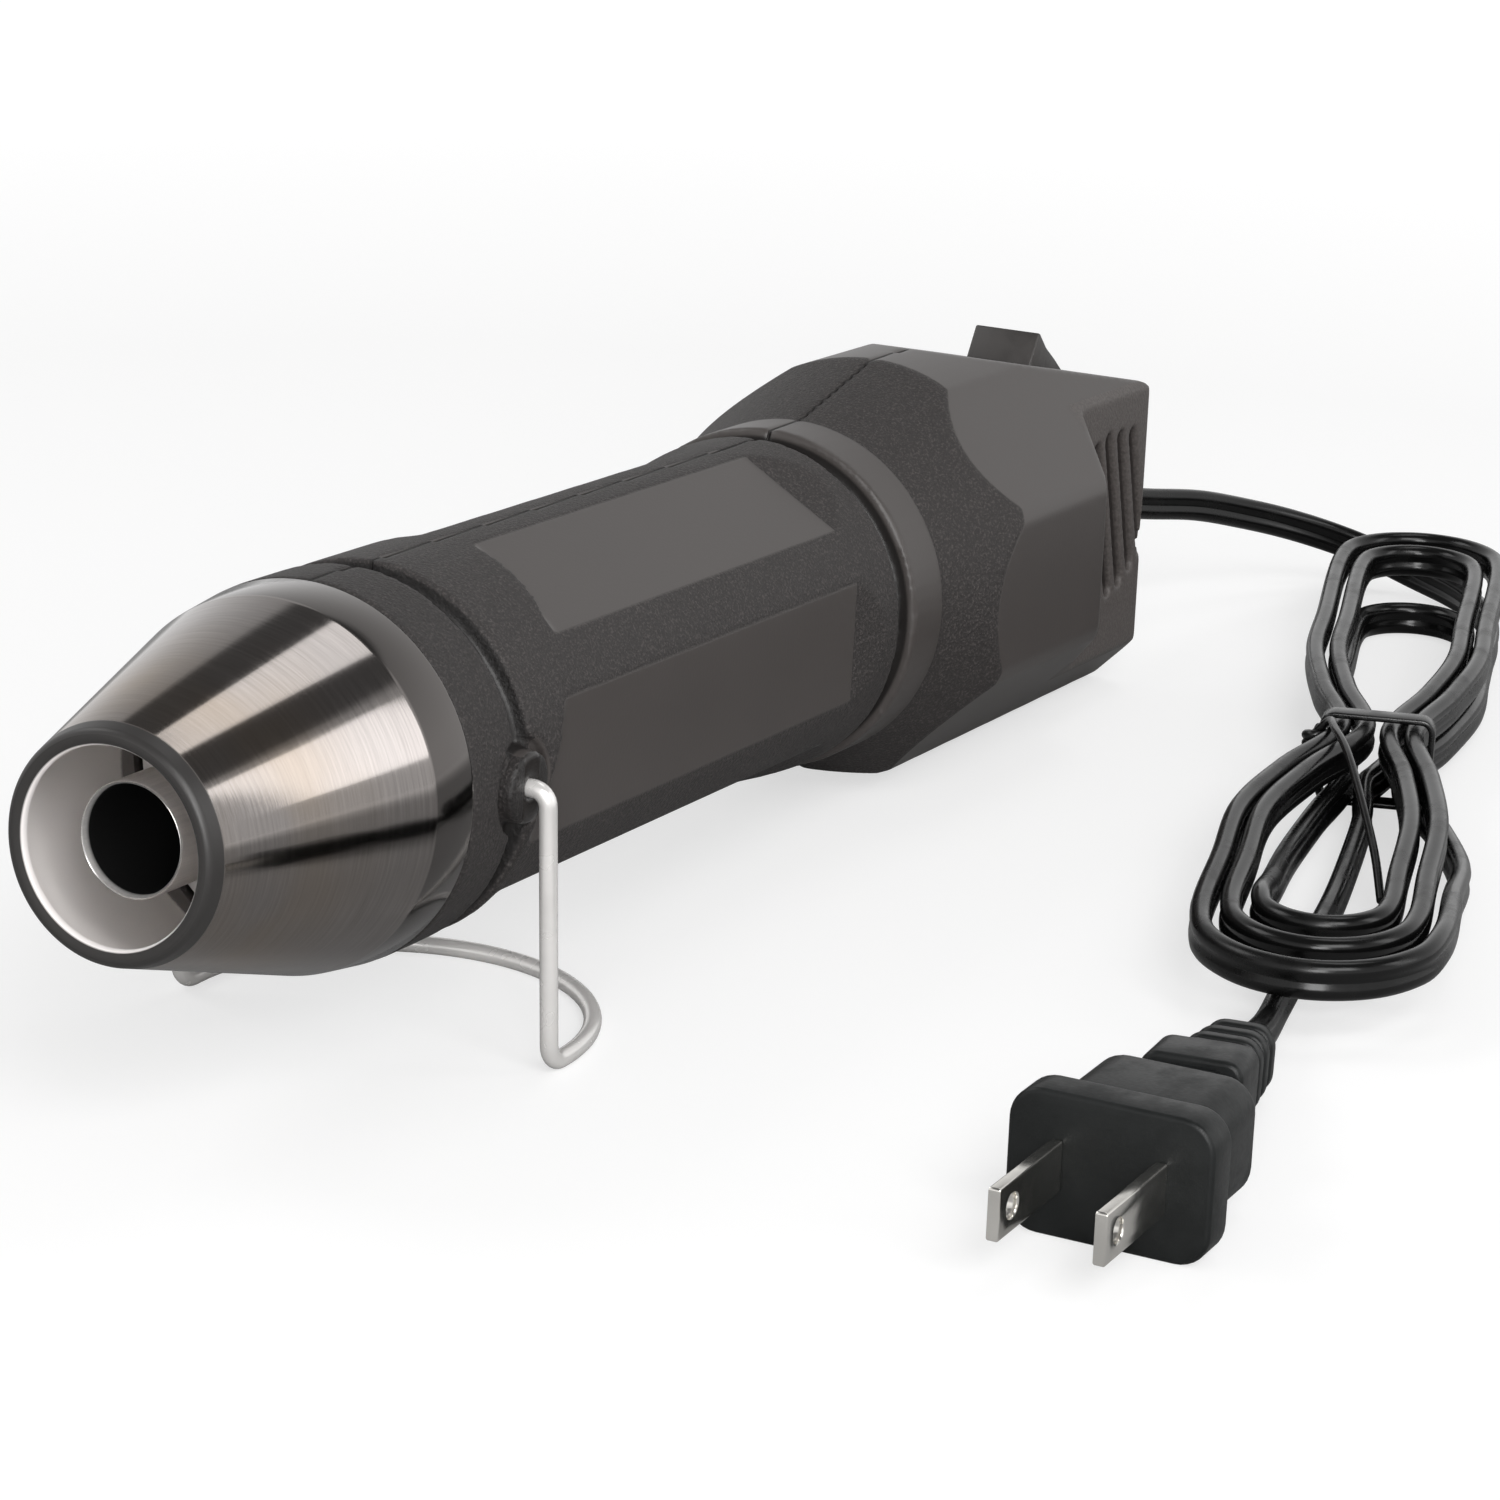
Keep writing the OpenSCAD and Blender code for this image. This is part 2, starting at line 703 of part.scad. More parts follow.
module rocker_pin() {
    color([0.6, 0.6, 0.6]) tool() switch_frame() translate([0, -switch_half + thin, -pivot_depth])
        rotate([-90, 0, 0]) cylinder(h = 2 * switch_half - 2 * thin, r = pin_r);
}

// stand, drawn level with the floor from its hinge

module stand_wire() {
    lean = leg_lean - rest_pitch;
    drop = leg_len * cos(lean);
    knee = leg_len * sin(lean);
    turn = 90 - lean;
    tangent = foot_bend * tan(turn / 2);
    pin_bend = 2;
    color([0.55, 0.55, 0.57]) translate(placed(hinge_at, 0, 0)) {
        for (side = [-1, 1]) mirror([0, side < 0 ? 0 : 1, 0]) {
            translate([0, -leg_half + pin_bend, 0]) rotate([-90, 0, 0])
                cylinder(h = leg_half - pin_bend - lug_hole_from - sheet, r = wire_r);
            rotate([0, -lean, 0]) translate([0, -leg_half + pin_bend, -pin_bend]) rotate([90, 0, -90])
                rotate_extrude(angle = 90) translate([pin_bend, 0]) circle(r = wire_r);
            rotate([0, -lean, 0]) translate([0, -leg_half, -leg_len + tangent])
                cylinder(h = leg_len - tangent - pin_bend, r = wire_r);
            translate([knee + tangent, -leg_half, foot_bend - drop]) rotate([90, 0, 0]) rotate([0, 0, 270 - turn])
                rotate_extrude(angle = turn) translate([foot_bend, 0]) circle(r = wire_r);
            translate([knee + tangent, -leg_half, -drop]) rotate([0, 90, 0])
                cylinder(h = foot_run, r = wire_r);
        }
        translate([knee + tangent + foot_run, 0, -drop]) rotate([0, 0, -90])
            rotate_extrude(angle = 180) translate([leg_half, 0]) circle(r = wire_r);
    }
}

// lead

// strain relief, square to the rear face
relief_u = -6;
relief_neck_r = 4;
relief_lip_r = 5.6;
relief_end_r = 3.5;

module relief_frame() {
    translate([rear_at, 0, 0]) rotate([0, -rest_pitch, 0]) translate([0, 0, relief_u]) children();
}

module strain_relief() {
    color([0.08, 0.08, 0.08]) tool() relief_frame() {
        barrel(-shell_wall - sheet, shell_wall + sheet + thin, relief_neck_r);
        barrel(-shell_wall - 3 * sheet, 3 * sheet - thin, relief_lip_r);
        barrel(0, 2 * sheet, relief_lip_r);
        taper(2 * sheet, relief_len - 2 * sheet, relief_neck_r, relief_end_r);
        for (k = [1 : 4]) barrel(k * relief_len / 5, 2 * sheet, relief_neck_r + sheet);
    }
}

relief_foot = placed(rear_at, 0, 0);
lead_from = [relief_foot[0] + relief_len, 0, relief_foot[2] + relief_u];

function unit(v) = v / norm(v);
function blend4(a, b, c, d, t) = 0.5 * (2 * b + (c - a) * t + (2 * a - 5 * b + 4 * c - d) * t * t
    + (3 * b - a - 3 * c + d) * t * t * t);
function smooth(p, n) = let (m = len(p) - 1)
    [for (i = [0 : m - 1], k = [0 : n - 1])
        blend4(i > 0 ? p[i - 1] : 2 * p[0] - p[1], p[i], p[i + 1],
            i < m - 1 ? p[i + 2] : 2 * p[m] - p[m - 1], k / n),
        p[m]];
function along(p, i) = unit(p[min(i + 1, len(p) - 1)] - p[max(i - 1, 0)]);
// octagonal section of the flat lead, its width standing upright
function cord_ring(at, dir, half_t, half_w) = let (n = unit(cross([0, 0, 1], dir)),
    b = cross(dir, n), r = 1 / cos(22.5))
    [for (k = [0 : 7]) at + r * half_t * cos(45 * k + 22.5) * n + r * half_w * sin(45 * k + 22.5) * b];
function cord_rings(p, half_t, half_w, first, last) = [for (i = [0 : len(p) - 1])
    cord_ring(p[i], i == 0 ? unit(first) : i == len(p) - 1 ? unit(last) : along(p, i), half_t, half_w)];

module skin(rings) {
    n = len(rings[0]);
    m = len(rings);
    polyhedron(points = [for (ring = rings) each ring],
        faces = concat([[for (k = [n - 1 : -1 : 0]) k]],
            [for (i = [0 : m - 2], k = [0 : n - 1]) [i * n + k, i * n + (k + 1) % n, (i + 1) * n + k]],
            [for (i = [0 : m - 2], k = [0 : n - 1])
                [i * n + (k + 1) % n, (i + 1) * n + (k + 1) % n, (i + 1) * n + k]],
            [[for (k = [0 : n - 1]) (m - 1) * n + k]]), convexity = 10);
}

// hank: half loops in turn at its far and near ends, from the lead's end to its waist.
// The far loops of the upper layer stay raised, and the lead runs in beneath their tips.
hank_waist = [88.4, -74.3];
far_turn = 16;
near_turn = 196;
lobe_steps = 14;
lobe_run = 64;
hank_first = lobe_steps - 3;
reach = [100, 106, 118, 97, 109, 88, 99];
tip_r = [12.7, 15.6, 12.8, 12.1, 9.2, 8.4, 8.9];
tip_len = [12.7, 19, 14, 15, 10, 10, 9.5];
waist_w = [5.4, 4.1, 5.4, 5.4, 1.8, 1.8, 3.9, 0.2];
waist_layer = [1, 0, 1, 1, 1, 1, 0, 0];
run_shares = [0, 0.34, 0.67, 1];
swell_shares = [0, 0.58, 0.98, 1];
layer_shares = [1, 1, 0.9, 0.4, 0, 0, 0, 0];
hump_shares = [0, 0, 0.12, 0.6, 1, 1, 1, 1];
near_lean = 1.5;
layer_z = cord_w + 2 * sheet;
tie_lift = 1;
floor_z = cord_w / 2;

function lobe(k, i) = let (far = k % 2 == 0, h = min(i, lobe_steps - i), out = i < lobe_steps / 2,
    w = out ? waist_w[k] : waist_w[k + 1], layer = out ? waist_layer[k] : waist_layer[k + 1],
    bow = max(h - 4, 0) * 360 / (2 * lobe_steps - 16),
    x = h < 4 ? lobe_run * run_shares[h] : reach[k] - tip_len[k] + tip_len[k] * sin(bow),
    wide = h < 4 ? w + (tip_r[k] - w) * swell_shares[h] : tip_r[k] * cos(bow),
    y = (out ? wide : -wide) - (far ? 0 : near_lean * x / reach[k]),
    turn = far ? far_turn : near_turn,
    fall = far && layer == 1 ? 1 : layer_shares[h],
    z = floor_z + (tie_lift + layer_z * layer) * fall + (far ? 0 : layer_z * hump_shares[h]))
    [hank_waist[0] + x * cos(turn) - y * sin(turn), hank_waist[1] + x * sin(turn) + y * cos(turn), z];

hank_route = concat(
    [for (i = [hank_first : lobe_steps - 1]) lobe(0, i)],
    [for (k = [1 : 6], i = [0 : lobe_steps - 1]) lobe(k, i)],
    [lobe(6, lobe_steps)]);

// least gap between two strands of the hank, side by side or one over the other
function strand_gap(a, b, dir) = let (d = b - a, n = unit(cross([0, 0, 1], dir)))
    abs(d * unit(dir)) > cord_t / 2 ? cord_w : max(abs(d[2]) - cord_w, abs(d * n) - cord_t);
hank_fine = [for (i = [0 : len(hank_route) - 2], k = [0 : 3])
    hank_route[i] + (hank_route[i + 1] - hank_route[i]) * k / 4];
echo(least_hank_gap = min([for (i = [1 : len(hank_fine) - 30], j = [i + 28 : len(hank_fine) - 1])
    if (norm(hank_fine[j] - hank_fine[i]) < 2 * cord_w)
        strand_gap(hank_fine[i], hank_fine[j], hank_fine[i] - hank_fine[i - 1])]));

lead_route = concat([lead_from], [[157, -1.9, 21.4], [167, -4.8, 19.6], [178.5, -8.8, 17.6],
    [188, -13, 15], [197, -18.4, 12], [203.5, -24.6, 9], [207, -31.6, 6.2], [206.8, -39, 3.9],
    [202.6, -47, 2.9], [195, -54, 2.65], [185.5, -59.3, 2.65], [175.5, -62.9, 2.65]],
    [hank_route[0] - 2 * cord_w * unit(hank_route[1] - hank_route[0]), hank_route[0]]);

tail_from = hank_route[len(hank_route) - 1];
neck_end = [-29.5, -100.8, 4.9];
neck_droop = 5;
neck_yaw = 7.3;
neck_len = 40;
neck_dir = [cos(neck_droop) * cos(neck_yaw), cos(neck_droop) * sin(neck_yaw), -sin(neck_droop)];
tail_route = concat([tail_from, tail_from + cord_w * unit(tail_from - lobe(6, lobe_steps - 1))],
    [[69.1, -79.6, 3.3], [49.6, -84.6, 2.65], [30, -89.2, 2.65], [10.4, -92.9, 2.65],
    [-7, -96.3, 2.65]],
    [neck_end + 1.5 * cord_w * neck_dir, neck_end]);

module lead_form(route, first, end) {
    skin(cord_rings(route, cord_t / 2, cord_w / 2, first, end));
}

module cord_lead() {
    color([0.05, 0.05, 0.05])
        lead_form(smooth(lead_route, 2), [1, 0, 0], hank_route[1] - hank_route[0]);
}

module cord_hank() {
    n = len(hank_route);
    color([0.05, 0.05, 0.05])
        lead_form(hank_route, hank_route[1] - hank_route[0], hank_route[n - 1] - hank_route[n - 2]);
}

module cord_tail() {
    n = len(hank_route);
    color([0.05, 0.05, 0.05]) lead_form(smooth(tail_route, 2),
        hank_route[n - 1] - hank_route[n - 2], -neck_dir);
}

module cord_tie() {
    band = 1;
    band_w = 3.5;
    half_w = waist_w[0] + cord_t / 2 + sheet;
    top_z = tie_lift + cord_w + layer_z + sheet / 2;
    color([0.05, 0.05, 0.05]) translate([hank_waist[0], hank_waist[1], 0]) rotate([0, 0, far_turn]) {
        rotate([90, 0, 90]) linear_extrude(height = band_w, center = true) difference() {
            translate([-half_w - band, 0]) square([2 * half_w + 2 * band, top_z + band]);
            translate([-half_w, band * 0.9]) square([2 * half_w, top_z - band * 0.9]);
        }
        translate([0, half_w + 1.4 * band, 0.7 * top_z]) sphere(r = 1.6 * band);
    }
}

plug_at = [-87.1, -106.35, 8.75];
plug_round = 4;
plug_step = 5.5;
plug_waist = 20;

module rounded(w, h, r) {
    square([w - 2 * r, h], center = true);
    square([w, h - 2 * r], center = true);
    for (a = [-1, 1], b = [-1, 1]) translate([a * (w / 2 - r), b * (h / 2 - r)]) circle(r = r);
}

module plug_body() {
    shrink = 5;
    color([0.06, 0.06, 0.06]) {
        translate(plug_at) rotate([90, 0, 90]) {
            linear_extrude(height = plug_step) rounded(plug_w, plug_h, plug_round);
            linear_extrude(height = plug_waist) rounded(plug_w - shrink, plug_h - 0.6 * shrink, plug_round);
        }
        translate(neck_end - neck_len * neck_dir) rotate([0, 90 + neck_droop, neck_yaw]) {
            cylinder(h = neck_len, r1 = 6.4, r2 = 3.4);
            for (k = [1 : 4]) translate([0, 0, (k + 1) * neck_len / 8]) cylinder(h = 2, r = 6.6 - 0.45 * k);
        }
    }
}

module blade(side) {
    blade_t = 1.5;
    hole_r = 1.5;
    color([0.75, 0.72, 0.6]) translate(plug_at + [-blade_len, side * blade_pitch / 2, 0])
        difference() {
            translate([0, -blade_t / 2, -blade_h / 2]) cube([blade_len, blade_t, blade_h]);
            translate([2.4 * hole_r, -blade_t, 0]) rotate([-90, 0, 0])
                cylinder(h = 2 * blade_t, r = hole_r);
        }
}

module live_blade() {
    blade(-1);
}

module neutral_blade() {
    blade(1);
}

left_shell();
right_shell();
housing_screws();
nozzle_shield();
outlet_tube();
tube_washer();
air_funnel();
mica_former();
heating_coil();
mica_sleeve();
thermal_cutout();
motor_can();
motor_mount();
motor_bearing();
motor_shaft();
fan_wheel();
rectifier_board();
inner_wires();
switch_body();
switch_rocker();
rocker_pin();
strain_relief();
stand_wire();
cord_lead();
cord_hank();
cord_tail();
cord_tie();
plug_body();
live_blade();
neutral_blade();
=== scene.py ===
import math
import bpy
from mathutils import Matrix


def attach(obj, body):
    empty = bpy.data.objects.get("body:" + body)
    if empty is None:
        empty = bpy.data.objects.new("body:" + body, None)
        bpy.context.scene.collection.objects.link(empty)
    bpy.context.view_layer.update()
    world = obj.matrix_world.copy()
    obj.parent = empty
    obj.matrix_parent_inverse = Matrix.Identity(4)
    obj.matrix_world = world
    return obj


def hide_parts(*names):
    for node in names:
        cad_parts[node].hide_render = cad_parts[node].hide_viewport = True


bl_info = {
    "name": "Heat Tool Looks",
    "version": (1, 0, 0),
    "blender": (4, 5, 0),
    "location": "View3D > Sidebar > Heat Tool",
    "description": "Dresses a packed craft heat tool with finished pieces and materials",
    "category": "Object",
}

import bpy
from mathutils import Matrix, Vector

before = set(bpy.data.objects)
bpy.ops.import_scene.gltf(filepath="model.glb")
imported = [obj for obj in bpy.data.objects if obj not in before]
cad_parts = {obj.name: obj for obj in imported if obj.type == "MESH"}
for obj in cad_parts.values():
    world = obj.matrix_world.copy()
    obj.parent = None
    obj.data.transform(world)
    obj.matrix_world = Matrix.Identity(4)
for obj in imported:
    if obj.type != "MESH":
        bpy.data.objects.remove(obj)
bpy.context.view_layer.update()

MM = 0.001


def length(name, about, value):
    """A length property, given in millimetres."""
    return bpy.props.FloatProperty(
        name=name, description=about, default=value * MM, min=0.0, subtype="DISTANCE", unit="LENGTH")


def slant(name, about, degrees):
    """An angle property, given in degrees."""
    return bpy.props.FloatProperty(
        name=name, description=about, default=math.radians(degrees), subtype="ANGLE", unit="ROTATION")


def colour(name, about, value):
    return bpy.props.FloatVectorProperty(
        name=name, description=about, default=value, size=3, min=0.0, max=1.0, subtype="COLOR")


class HeatToolSizes(bpy.types.PropertyGroup):
    """Sizes of the tool, shared by its pieces."""

    pitch: slant("Resting pitch", "How far the barrel's rear hangs below its mouth", 2.34716)
    mouth_z: length("Mouth height", "Height of the barrel's axis at the mouth", 38.95016)
    mid_x: length("Middle", "Distance from the mouth to the middle of the floor plan", 128.11862)
    mouth_r: length("Mouth radius", "Outer radius of the guard's mouth", 14.0)
    rim_roll: length("Rolled rim", "Radius of the rolled rim's section", 1.1)
    guard_cone: length("Guard cone", "Length of the guard's cone", 33.4)
    guard_back_r: length("Guard back", "Radius where the cone meets the skirt", 23.1)
    collar_at: length("Collar place", "Where the housing's front collar starts", 40.6)
    collar_len: length("Collar length", "Length of the housing's front collar", 10.2)
    skirt_r: length("Skirt radius", "Radius at the back of the guard's skirt", 23.95)
    spigot_r: length("Spigot radius", "Radius of the guard's spigot in the collar", 21.4)
    spigot_len: length("Spigot length", "Depth of the guard's spigot", 5.6)
    guard_wall: length("Guard wall", "Sheet thickness of the guard", 0.8)
    tube_r: length("Tube radius", "Outer radius of the outlet tube", 7.0)
    tube_set: length("Tube set back", "How far the tube sits behind the mouth", 4.7)
    tube_len: length("Tube length", "Length of the outlet tube", 83.0)
    tube_wall: length("Tube wall", "Wall of the outlet tube", 0.45)
    grip_at: length("Grip place", "Where the grip starts", 54.6)
    grip_end: length("Grip end", "Where the grip ends", 156.9)
    grip_r: length("Grip radius", "Radius of the grip", 23.9)
    ramp_at: length("Ramp place", "Where the textured ramps behind the flats start", 145.5)
    flange_at: length("Flange place", "Where the smooth flange starts", 160.3)
    flare_at: length("Flare place", "Where the motor end's flare starts", 169.4)
    flare_low: slant("Flare's underside", "Slope of the flare's cone below", 14.25)
    flare_high: slant("Flare's top", "Slope of the flare's cone above", 28.6)
    flange_r: length("Flange radius", "Radius of the smooth flange", 24.55)
    recess_at: length("Recess place", "Where the vent recess reaches its floor", 228.0)
    recess_r: length("Recess floor", "Half of the width between the recess floors", 19.6)
    rear_at: length("Rear", "Length of the barrel from mouth to rear face", 257.0)
    wire_r: length("Stand wire", "Radius of the stand's wire", 1.15)
    hinge_at: length("Hinge", "Place of the stand's hinge along the barrel", 52.6)
    leg_half: length("Half width", "Half of the distance between the stand's legs", 27.0)
    leg_len: length("Leg", "Length of the stand's legs", 35.7)
    leg_lean: slant("Lean", "How far the legs lean back from the barrel's upright", 5.5)
    hinge_bend: length("Hinge bend", "Bend radius between the legs and the hinge ends", 2.0)
    hinge_end: length("Hinge end", "How far the wire's ends stay from the barrel's middle", 19.2)
    foot_bend: length("Foot bend", "Bend radius at the stand's feet", 3.0)
    foot_run: length("Foot run", "Straight wire before the foot's arc", 1.0)
    cord_w: length("Lead width", "Width of the flat twin lead", 5.3)
    cord_t: length("Lead thickness", "Thickness of the flat twin lead", 2.9)
    web_t: length("Web", "Thickness of the lead between its two cores", 2.1)
    relief_len: length("Strain relief", "Length of the strain relief outside the housing", 18.0)
    plug_w: length("Plug width", "Width of the plug's face", 25.0)
    plug_h: length("Plug height", "Height of the plug's face", 17.5)


class HeatToolColours(bpy.types.PropertyGroup):
    """Colours of the tool's finishes."""

    housing: colour("Housing", "Smooth moulded plastic", (0.060, 0.053, 0.050))
    texture: colour("Spark texture", "Spark-textured bands of the housing", (0.031, 0.027, 0.026))
    steel: colour("Guard steel", "Smoky steel of the guard", (0.27, 0.250, 0.240))
    heated: colour("Heated steel", "Straw tint where the guard runs hot", (0.28, 0.22, 0.16))
    # Painted reflection: this pale matt colour stands in for the steel inner wall's reflection of the bright
    # surroundings.
    inside: colour("Inside of the guard", "Pale matt inner wall of the guard", (0.94, 0.90, 0.88))
    rim: colour("Rim", "Dark rolled rim of the guard", (0.030, 0.028, 0.027))
    bright: colour("Bright steel", "Drawn tube and stand wire", (0.86, 0.84, 0.82))
    lead: colour("Lead", "Satin cover of the lead", (0.004, 0.004, 0.004))
    plug: colour("Plug", "Moulded plug", (0.006, 0.007, 0.007))
    switch: colour("Switch", "Rocker and switch frame", (0.042, 0.038, 0.036))


def sizes():
    return bpy.context.scene.heat_tool_sizes


def colours():
    return bpy.context.scene.heat_tool_colours


def tool_matrix():
    z = sizes()
    return Matrix.Translation((-z.mid_x, 0, z.mouth_z)) @ Matrix.Rotation(z.pitch, 4, "Y")


def placed(s, y, u):
    """A point given along, across and above the barrel's axis, in metres."""
    return tool_matrix() @ Vector((s, y, u))


class Value:
    """A number that varies over a surface, so that maths on it reads as maths."""

    def __init__(self, wiring, socket):
        self.wiring = wiring
        self.socket = socket

    def maths(self, operation, *others, clamp=False):
        return self.wiring.node("Math", {"operation": operation, "use_clamp": clamp}, (self,) + others)

    def __add__(self, other):
        return self.maths("ADD", other)

    def __sub__(self, other):
        return self.maths("SUBTRACT", other)

    def __mul__(self, other):
        return self.maths("MULTIPLY", other)

    def __truediv__(self, other):
        return self.maths("DIVIDE", other)

    def __abs__(self):
        return self.maths("ABSOLUTE")

    def __rsub__(self, other):
        return self.wiring.node("Math", {"operation": "SUBTRACT"}, (other, self))

    def __rtruediv__(self, other):
        return self.wiring.node("Math", {"operation": "DIVIDE"}, (other, self))

    __radd__ = __add__
    __rmul__ = __mul__

    def over(self, edge, soft):
        """0 below the edge, 1 above it, over a soft width."""
        return ((self - (edge - soft / 2)) / soft).maths("ADD", 0.0, clamp=True)

    def under(self, edge, soft):
        return 1.0 - self.over(edge, soft)

    def between(self, low, high, soft):
        return self.over(low, soft) * self.under(high, soft)


def most(first, *others):
    """The largest of some values, point by point."""
    for other in others:
        first = first.maths("MAXIMUM", other)
    return first


def set_stops(stops, wanted):
    """Gives a ramp its stops, each a place and a grey level."""
    while len(stops) < len(wanted):
        stops.new(0.5)
    for stop, (at, level) in zip(stops, wanted):
        stop.position = at
        stop.color = (level, level, level, 1)


class Wiring:
    """The nodes of a material or a world, and the means to add to them."""

    def __init__(self, owner, output):
        owner.use_nodes = True
        self.tree = owner.node_tree
        self.tree.nodes.clear()
        self.output = self.tree.nodes.new("ShaderNode" + output)

    def feed(self, socket, value):
        if isinstance(value, Value):
            self.tree.links.new(value.socket, socket)
        elif socket.type == "RGBA" and len(value) == 3:
            socket.default_value = (*value, 1.0)
        else:
            socket.default_value = value

    def node(self, kind, settings, values, output=0):
        """Adds a node of a kind, sets it up, then feeds its sockets by place or name."""
        node = self.tree.nodes.new("ShaderNode" + kind)
        for name, value in settings.items():
            if name == "stops":
                set_stops(node.color_ramp.elements, value)
            else:
                setattr(node, name, value)
        pairs = values.items() if isinstance(values, dict) else enumerate(values)
        for place, value in pairs:
            self.feed(node.inputs[place], value)
        return Value(self, node.outputs[output])

    def split(self, vector):
        parts = self.node("SeparateXYZ", {}, (vector,)).socket.node.outputs
        return [Value(self, part) for part in parts]

    def rays(self):
        """1 where a point is looked at, mirrored, or seen through something clear."""
        return [self.node("LightPath", {}, (), kind) for kind in (
            "Is Camera Ray", "Is Glossy Ray", "Is Transmission Ray")]


class Finish(Wiring):
    """One procedural material, on a single principled surface."""

    def __init__(self, name, roughness=0.5, metallic=0.0, **sockets):
        self.material = bpy.data.materials.new(name)
        super().__init__(self.material, "OutputMaterial")
        surface = self.node("BsdfPrincipled", {}, ())
        self.shader = surface.socket.node
        self.feed(self.output.inputs["Surface"], surface)
        self.set(roughness=roughness, metallic=metallic, **sockets)

    def set(self, **sockets):
        for name, value in sockets.items():
            self.feed(self.shader.inputs[name.replace("_", " ").title().replace("Ior", "IOR")], value)

    def place(self):
        return self.node("TexCoord", {}, (), "Object")

    def moved(self, matrix):
        """The surface's own place, turned into another frame."""
        return self.node("Mapping", {}, {
            "Vector": self.place(),
            "Location": matrix.to_translation(),
            "Rotation": matrix.to_euler("XYZ")})

    def joined(self, x, y, z):
        return self.node("CombineXYZ", {}, (x, y, z))

    def noise(self, scale, detail=2.0, rough=0.5, at=None):
        return self.node("TexNoise", {}, {
            "Vector": at or self.place(), "Scale": scale, "Detail": detail, "Roughness": rough})

    def cells(self, scale):
        return self.node("TexVoronoi", {}, {"Vector": self.place(), "Scale": scale}, "Distance")

    def mix(self, factor, first, second):
        """One colour where the factor is 0, another where it is 1."""
        return self.node("Mix", {"data_type": "RGBA"}, {0: factor, 6: first, 7: second}, 2)

    def bump(self, height, depth, strength=1.0):
        """Raises the surface by a height from 0 to 1, in metres of depth."""
        self.set(normal=self.node("Bump", {}, {
            "Strength": strength, "Distance": depth, "Height": height}))

    def barrel(self):
        """Place along, across and above the barrel, its radius and angle."""
        s, y, u = self.split(self.moved(tool_matrix().inverted()))
        return s, y, u, (y * y + u * u).maths("SQRT"), y.maths("ARCTAN2", u)


def tint(base, factor):
    return tuple(min(1.0, part * factor) for part in base)


# Width over which one band of the housing's surface passes into the next
EDGE = 0.12 * MM


def flare_mask(s, y, u):
    """1 on the cone of the flare, which the facets of the motor end cut into scallops."""
    z = sizes()
    low, high = math.tan(z.flare_low), math.tan(z.flare_high)
    half, tilt = (z.flare_low + z.flare_high) / 2, (z.flare_high - z.flare_low) / 2
    start_r = z.flange_r - 0.15 * MM
    back = 2 * start_r / (low + high)
    ds, du = s - (z.flare_at - back), u - (start_r - back * low)
    along = ds * math.cos(tilt) - du * math.sin(tilt)
    off = ds * math.sin(tilt) + du * math.cos(tilt)
    away = (off * off + y * y).maths("SQRT")
    depth = along * math.sin(half) - away * math.cos(half)
    return s.over(z.flare_at + 0.1 * MM, EDGE) * depth.under(0.22 * MM, EDGE)


def moulded_shell():
    """Plastic of the housing: smooth facets between bands of spark texture."""
    z = sizes()
    c = colours()
    f = Finish("moulded_shell", specular_ior_level=0.42)
    s, y, u, r, _ = f.barrel()
    wide = abs(y)
    collar = s.under(z.collar_at + z.collar_len, EDGE)
    on_grip = s.between(z.grip_at - 0.2 * MM, z.grip_end + 0.2 * MM, EDGE)
    flat = r.under(z.grip_r - 0.16 * MM, EDGE) \
        * s.over(z.grip_at + 1.2 * MM, EDGE) * s.under(z.grip_end - 1.5 * MM, EDGE)
    grip = on_grip * (1.0 - flat * s.under(z.ramp_at, EDGE))
    recess = s.over(z.recess_at - 4 * MM, 2 * MM) \
        * wide.under(z.recess_r + 2.5 * MM, EDGE) * wide.over(z.recess_r - 1 * MM, EDGE)
    textured = most(collar, grip, flare_mask(s, y, u))

    lug = s.between(z.hinge_at - 5 * MM, z.hinge_at + 5 * MM, EDGE) * wide.over(z.grip_r + 0.3 * MM, 2 * EDGE)
    # Painted shade: the grooves before and behind the grip are darkened where shade falls in them.
    front_groove = s.between(z.collar_at + 9.6 * MM, z.grip_at + 0.4 * MM, 0.4 * MM) \
        * r.under(z.grip_r - 0.6 * MM, 0.4 * MM)
    rear_groove = s.between(z.grip_end - 0.4 * MM, z.flange_at + 0.5 * MM, 0.3 * MM) \
        * r.under(z.grip_r - 0.5 * MM, 0.4 * MM)
    seam = wide.under(0.24 * MM, 0.14 * MM)
    # Darkening of the colour: painted shade in the two grooves, with the dark seam line, the darker glossier
    # lug by the hinge and a slightly darker collar.
    painted_shade_and_dark_marks = most(lug * 0.7, front_groove * 0.84, rear_groove * 0.84, seam * 0.805, collar * 0.196)

    fine = f.noise(2800, 3.0, 0.65)
    grain = f.cells(1500)
    specks = fine.over(0.58, 0.14)
    stipple = f.noise(2100, 2.0, 0.6)
    cloud = f.noise(38, 3.0, 0.5)
    smooth_tone = f.mix(cloud.over(0.5, 0.5), tint(c.housing, 0.94), tint(c.housing, 1.06))
    recess_tone = f.mix(stipple.over(0.55, 0.3), tint(c.housing, 1.15), tint(c.housing, 1.7))
    rough_tone = f.mix(specks, tint(c.texture, 0.72), tint(c.texture, 2.1))
    tone = f.mix(textured, f.mix(recess, smooth_tone, recess_tone), rough_tone)
    f.set(base_color=f.mix(painted_shade_and_dark_marks, tone, tint(c.texture, 0.2)),
          roughness=0.42 + textured * 0.2 + recess * 0.1 + (cloud - 0.5) * 0.08 - lug * 0.2)
    smooth_height = 0.85 + stipple * 0.06 + recess * stipple * 0.35
    height = textured * (fine * 0.8 + grain * 0.4) + (1.0 - textured) * smooth_height - seam * 0.8
    f.bump(height, 0.2 * MM)
    return f.material


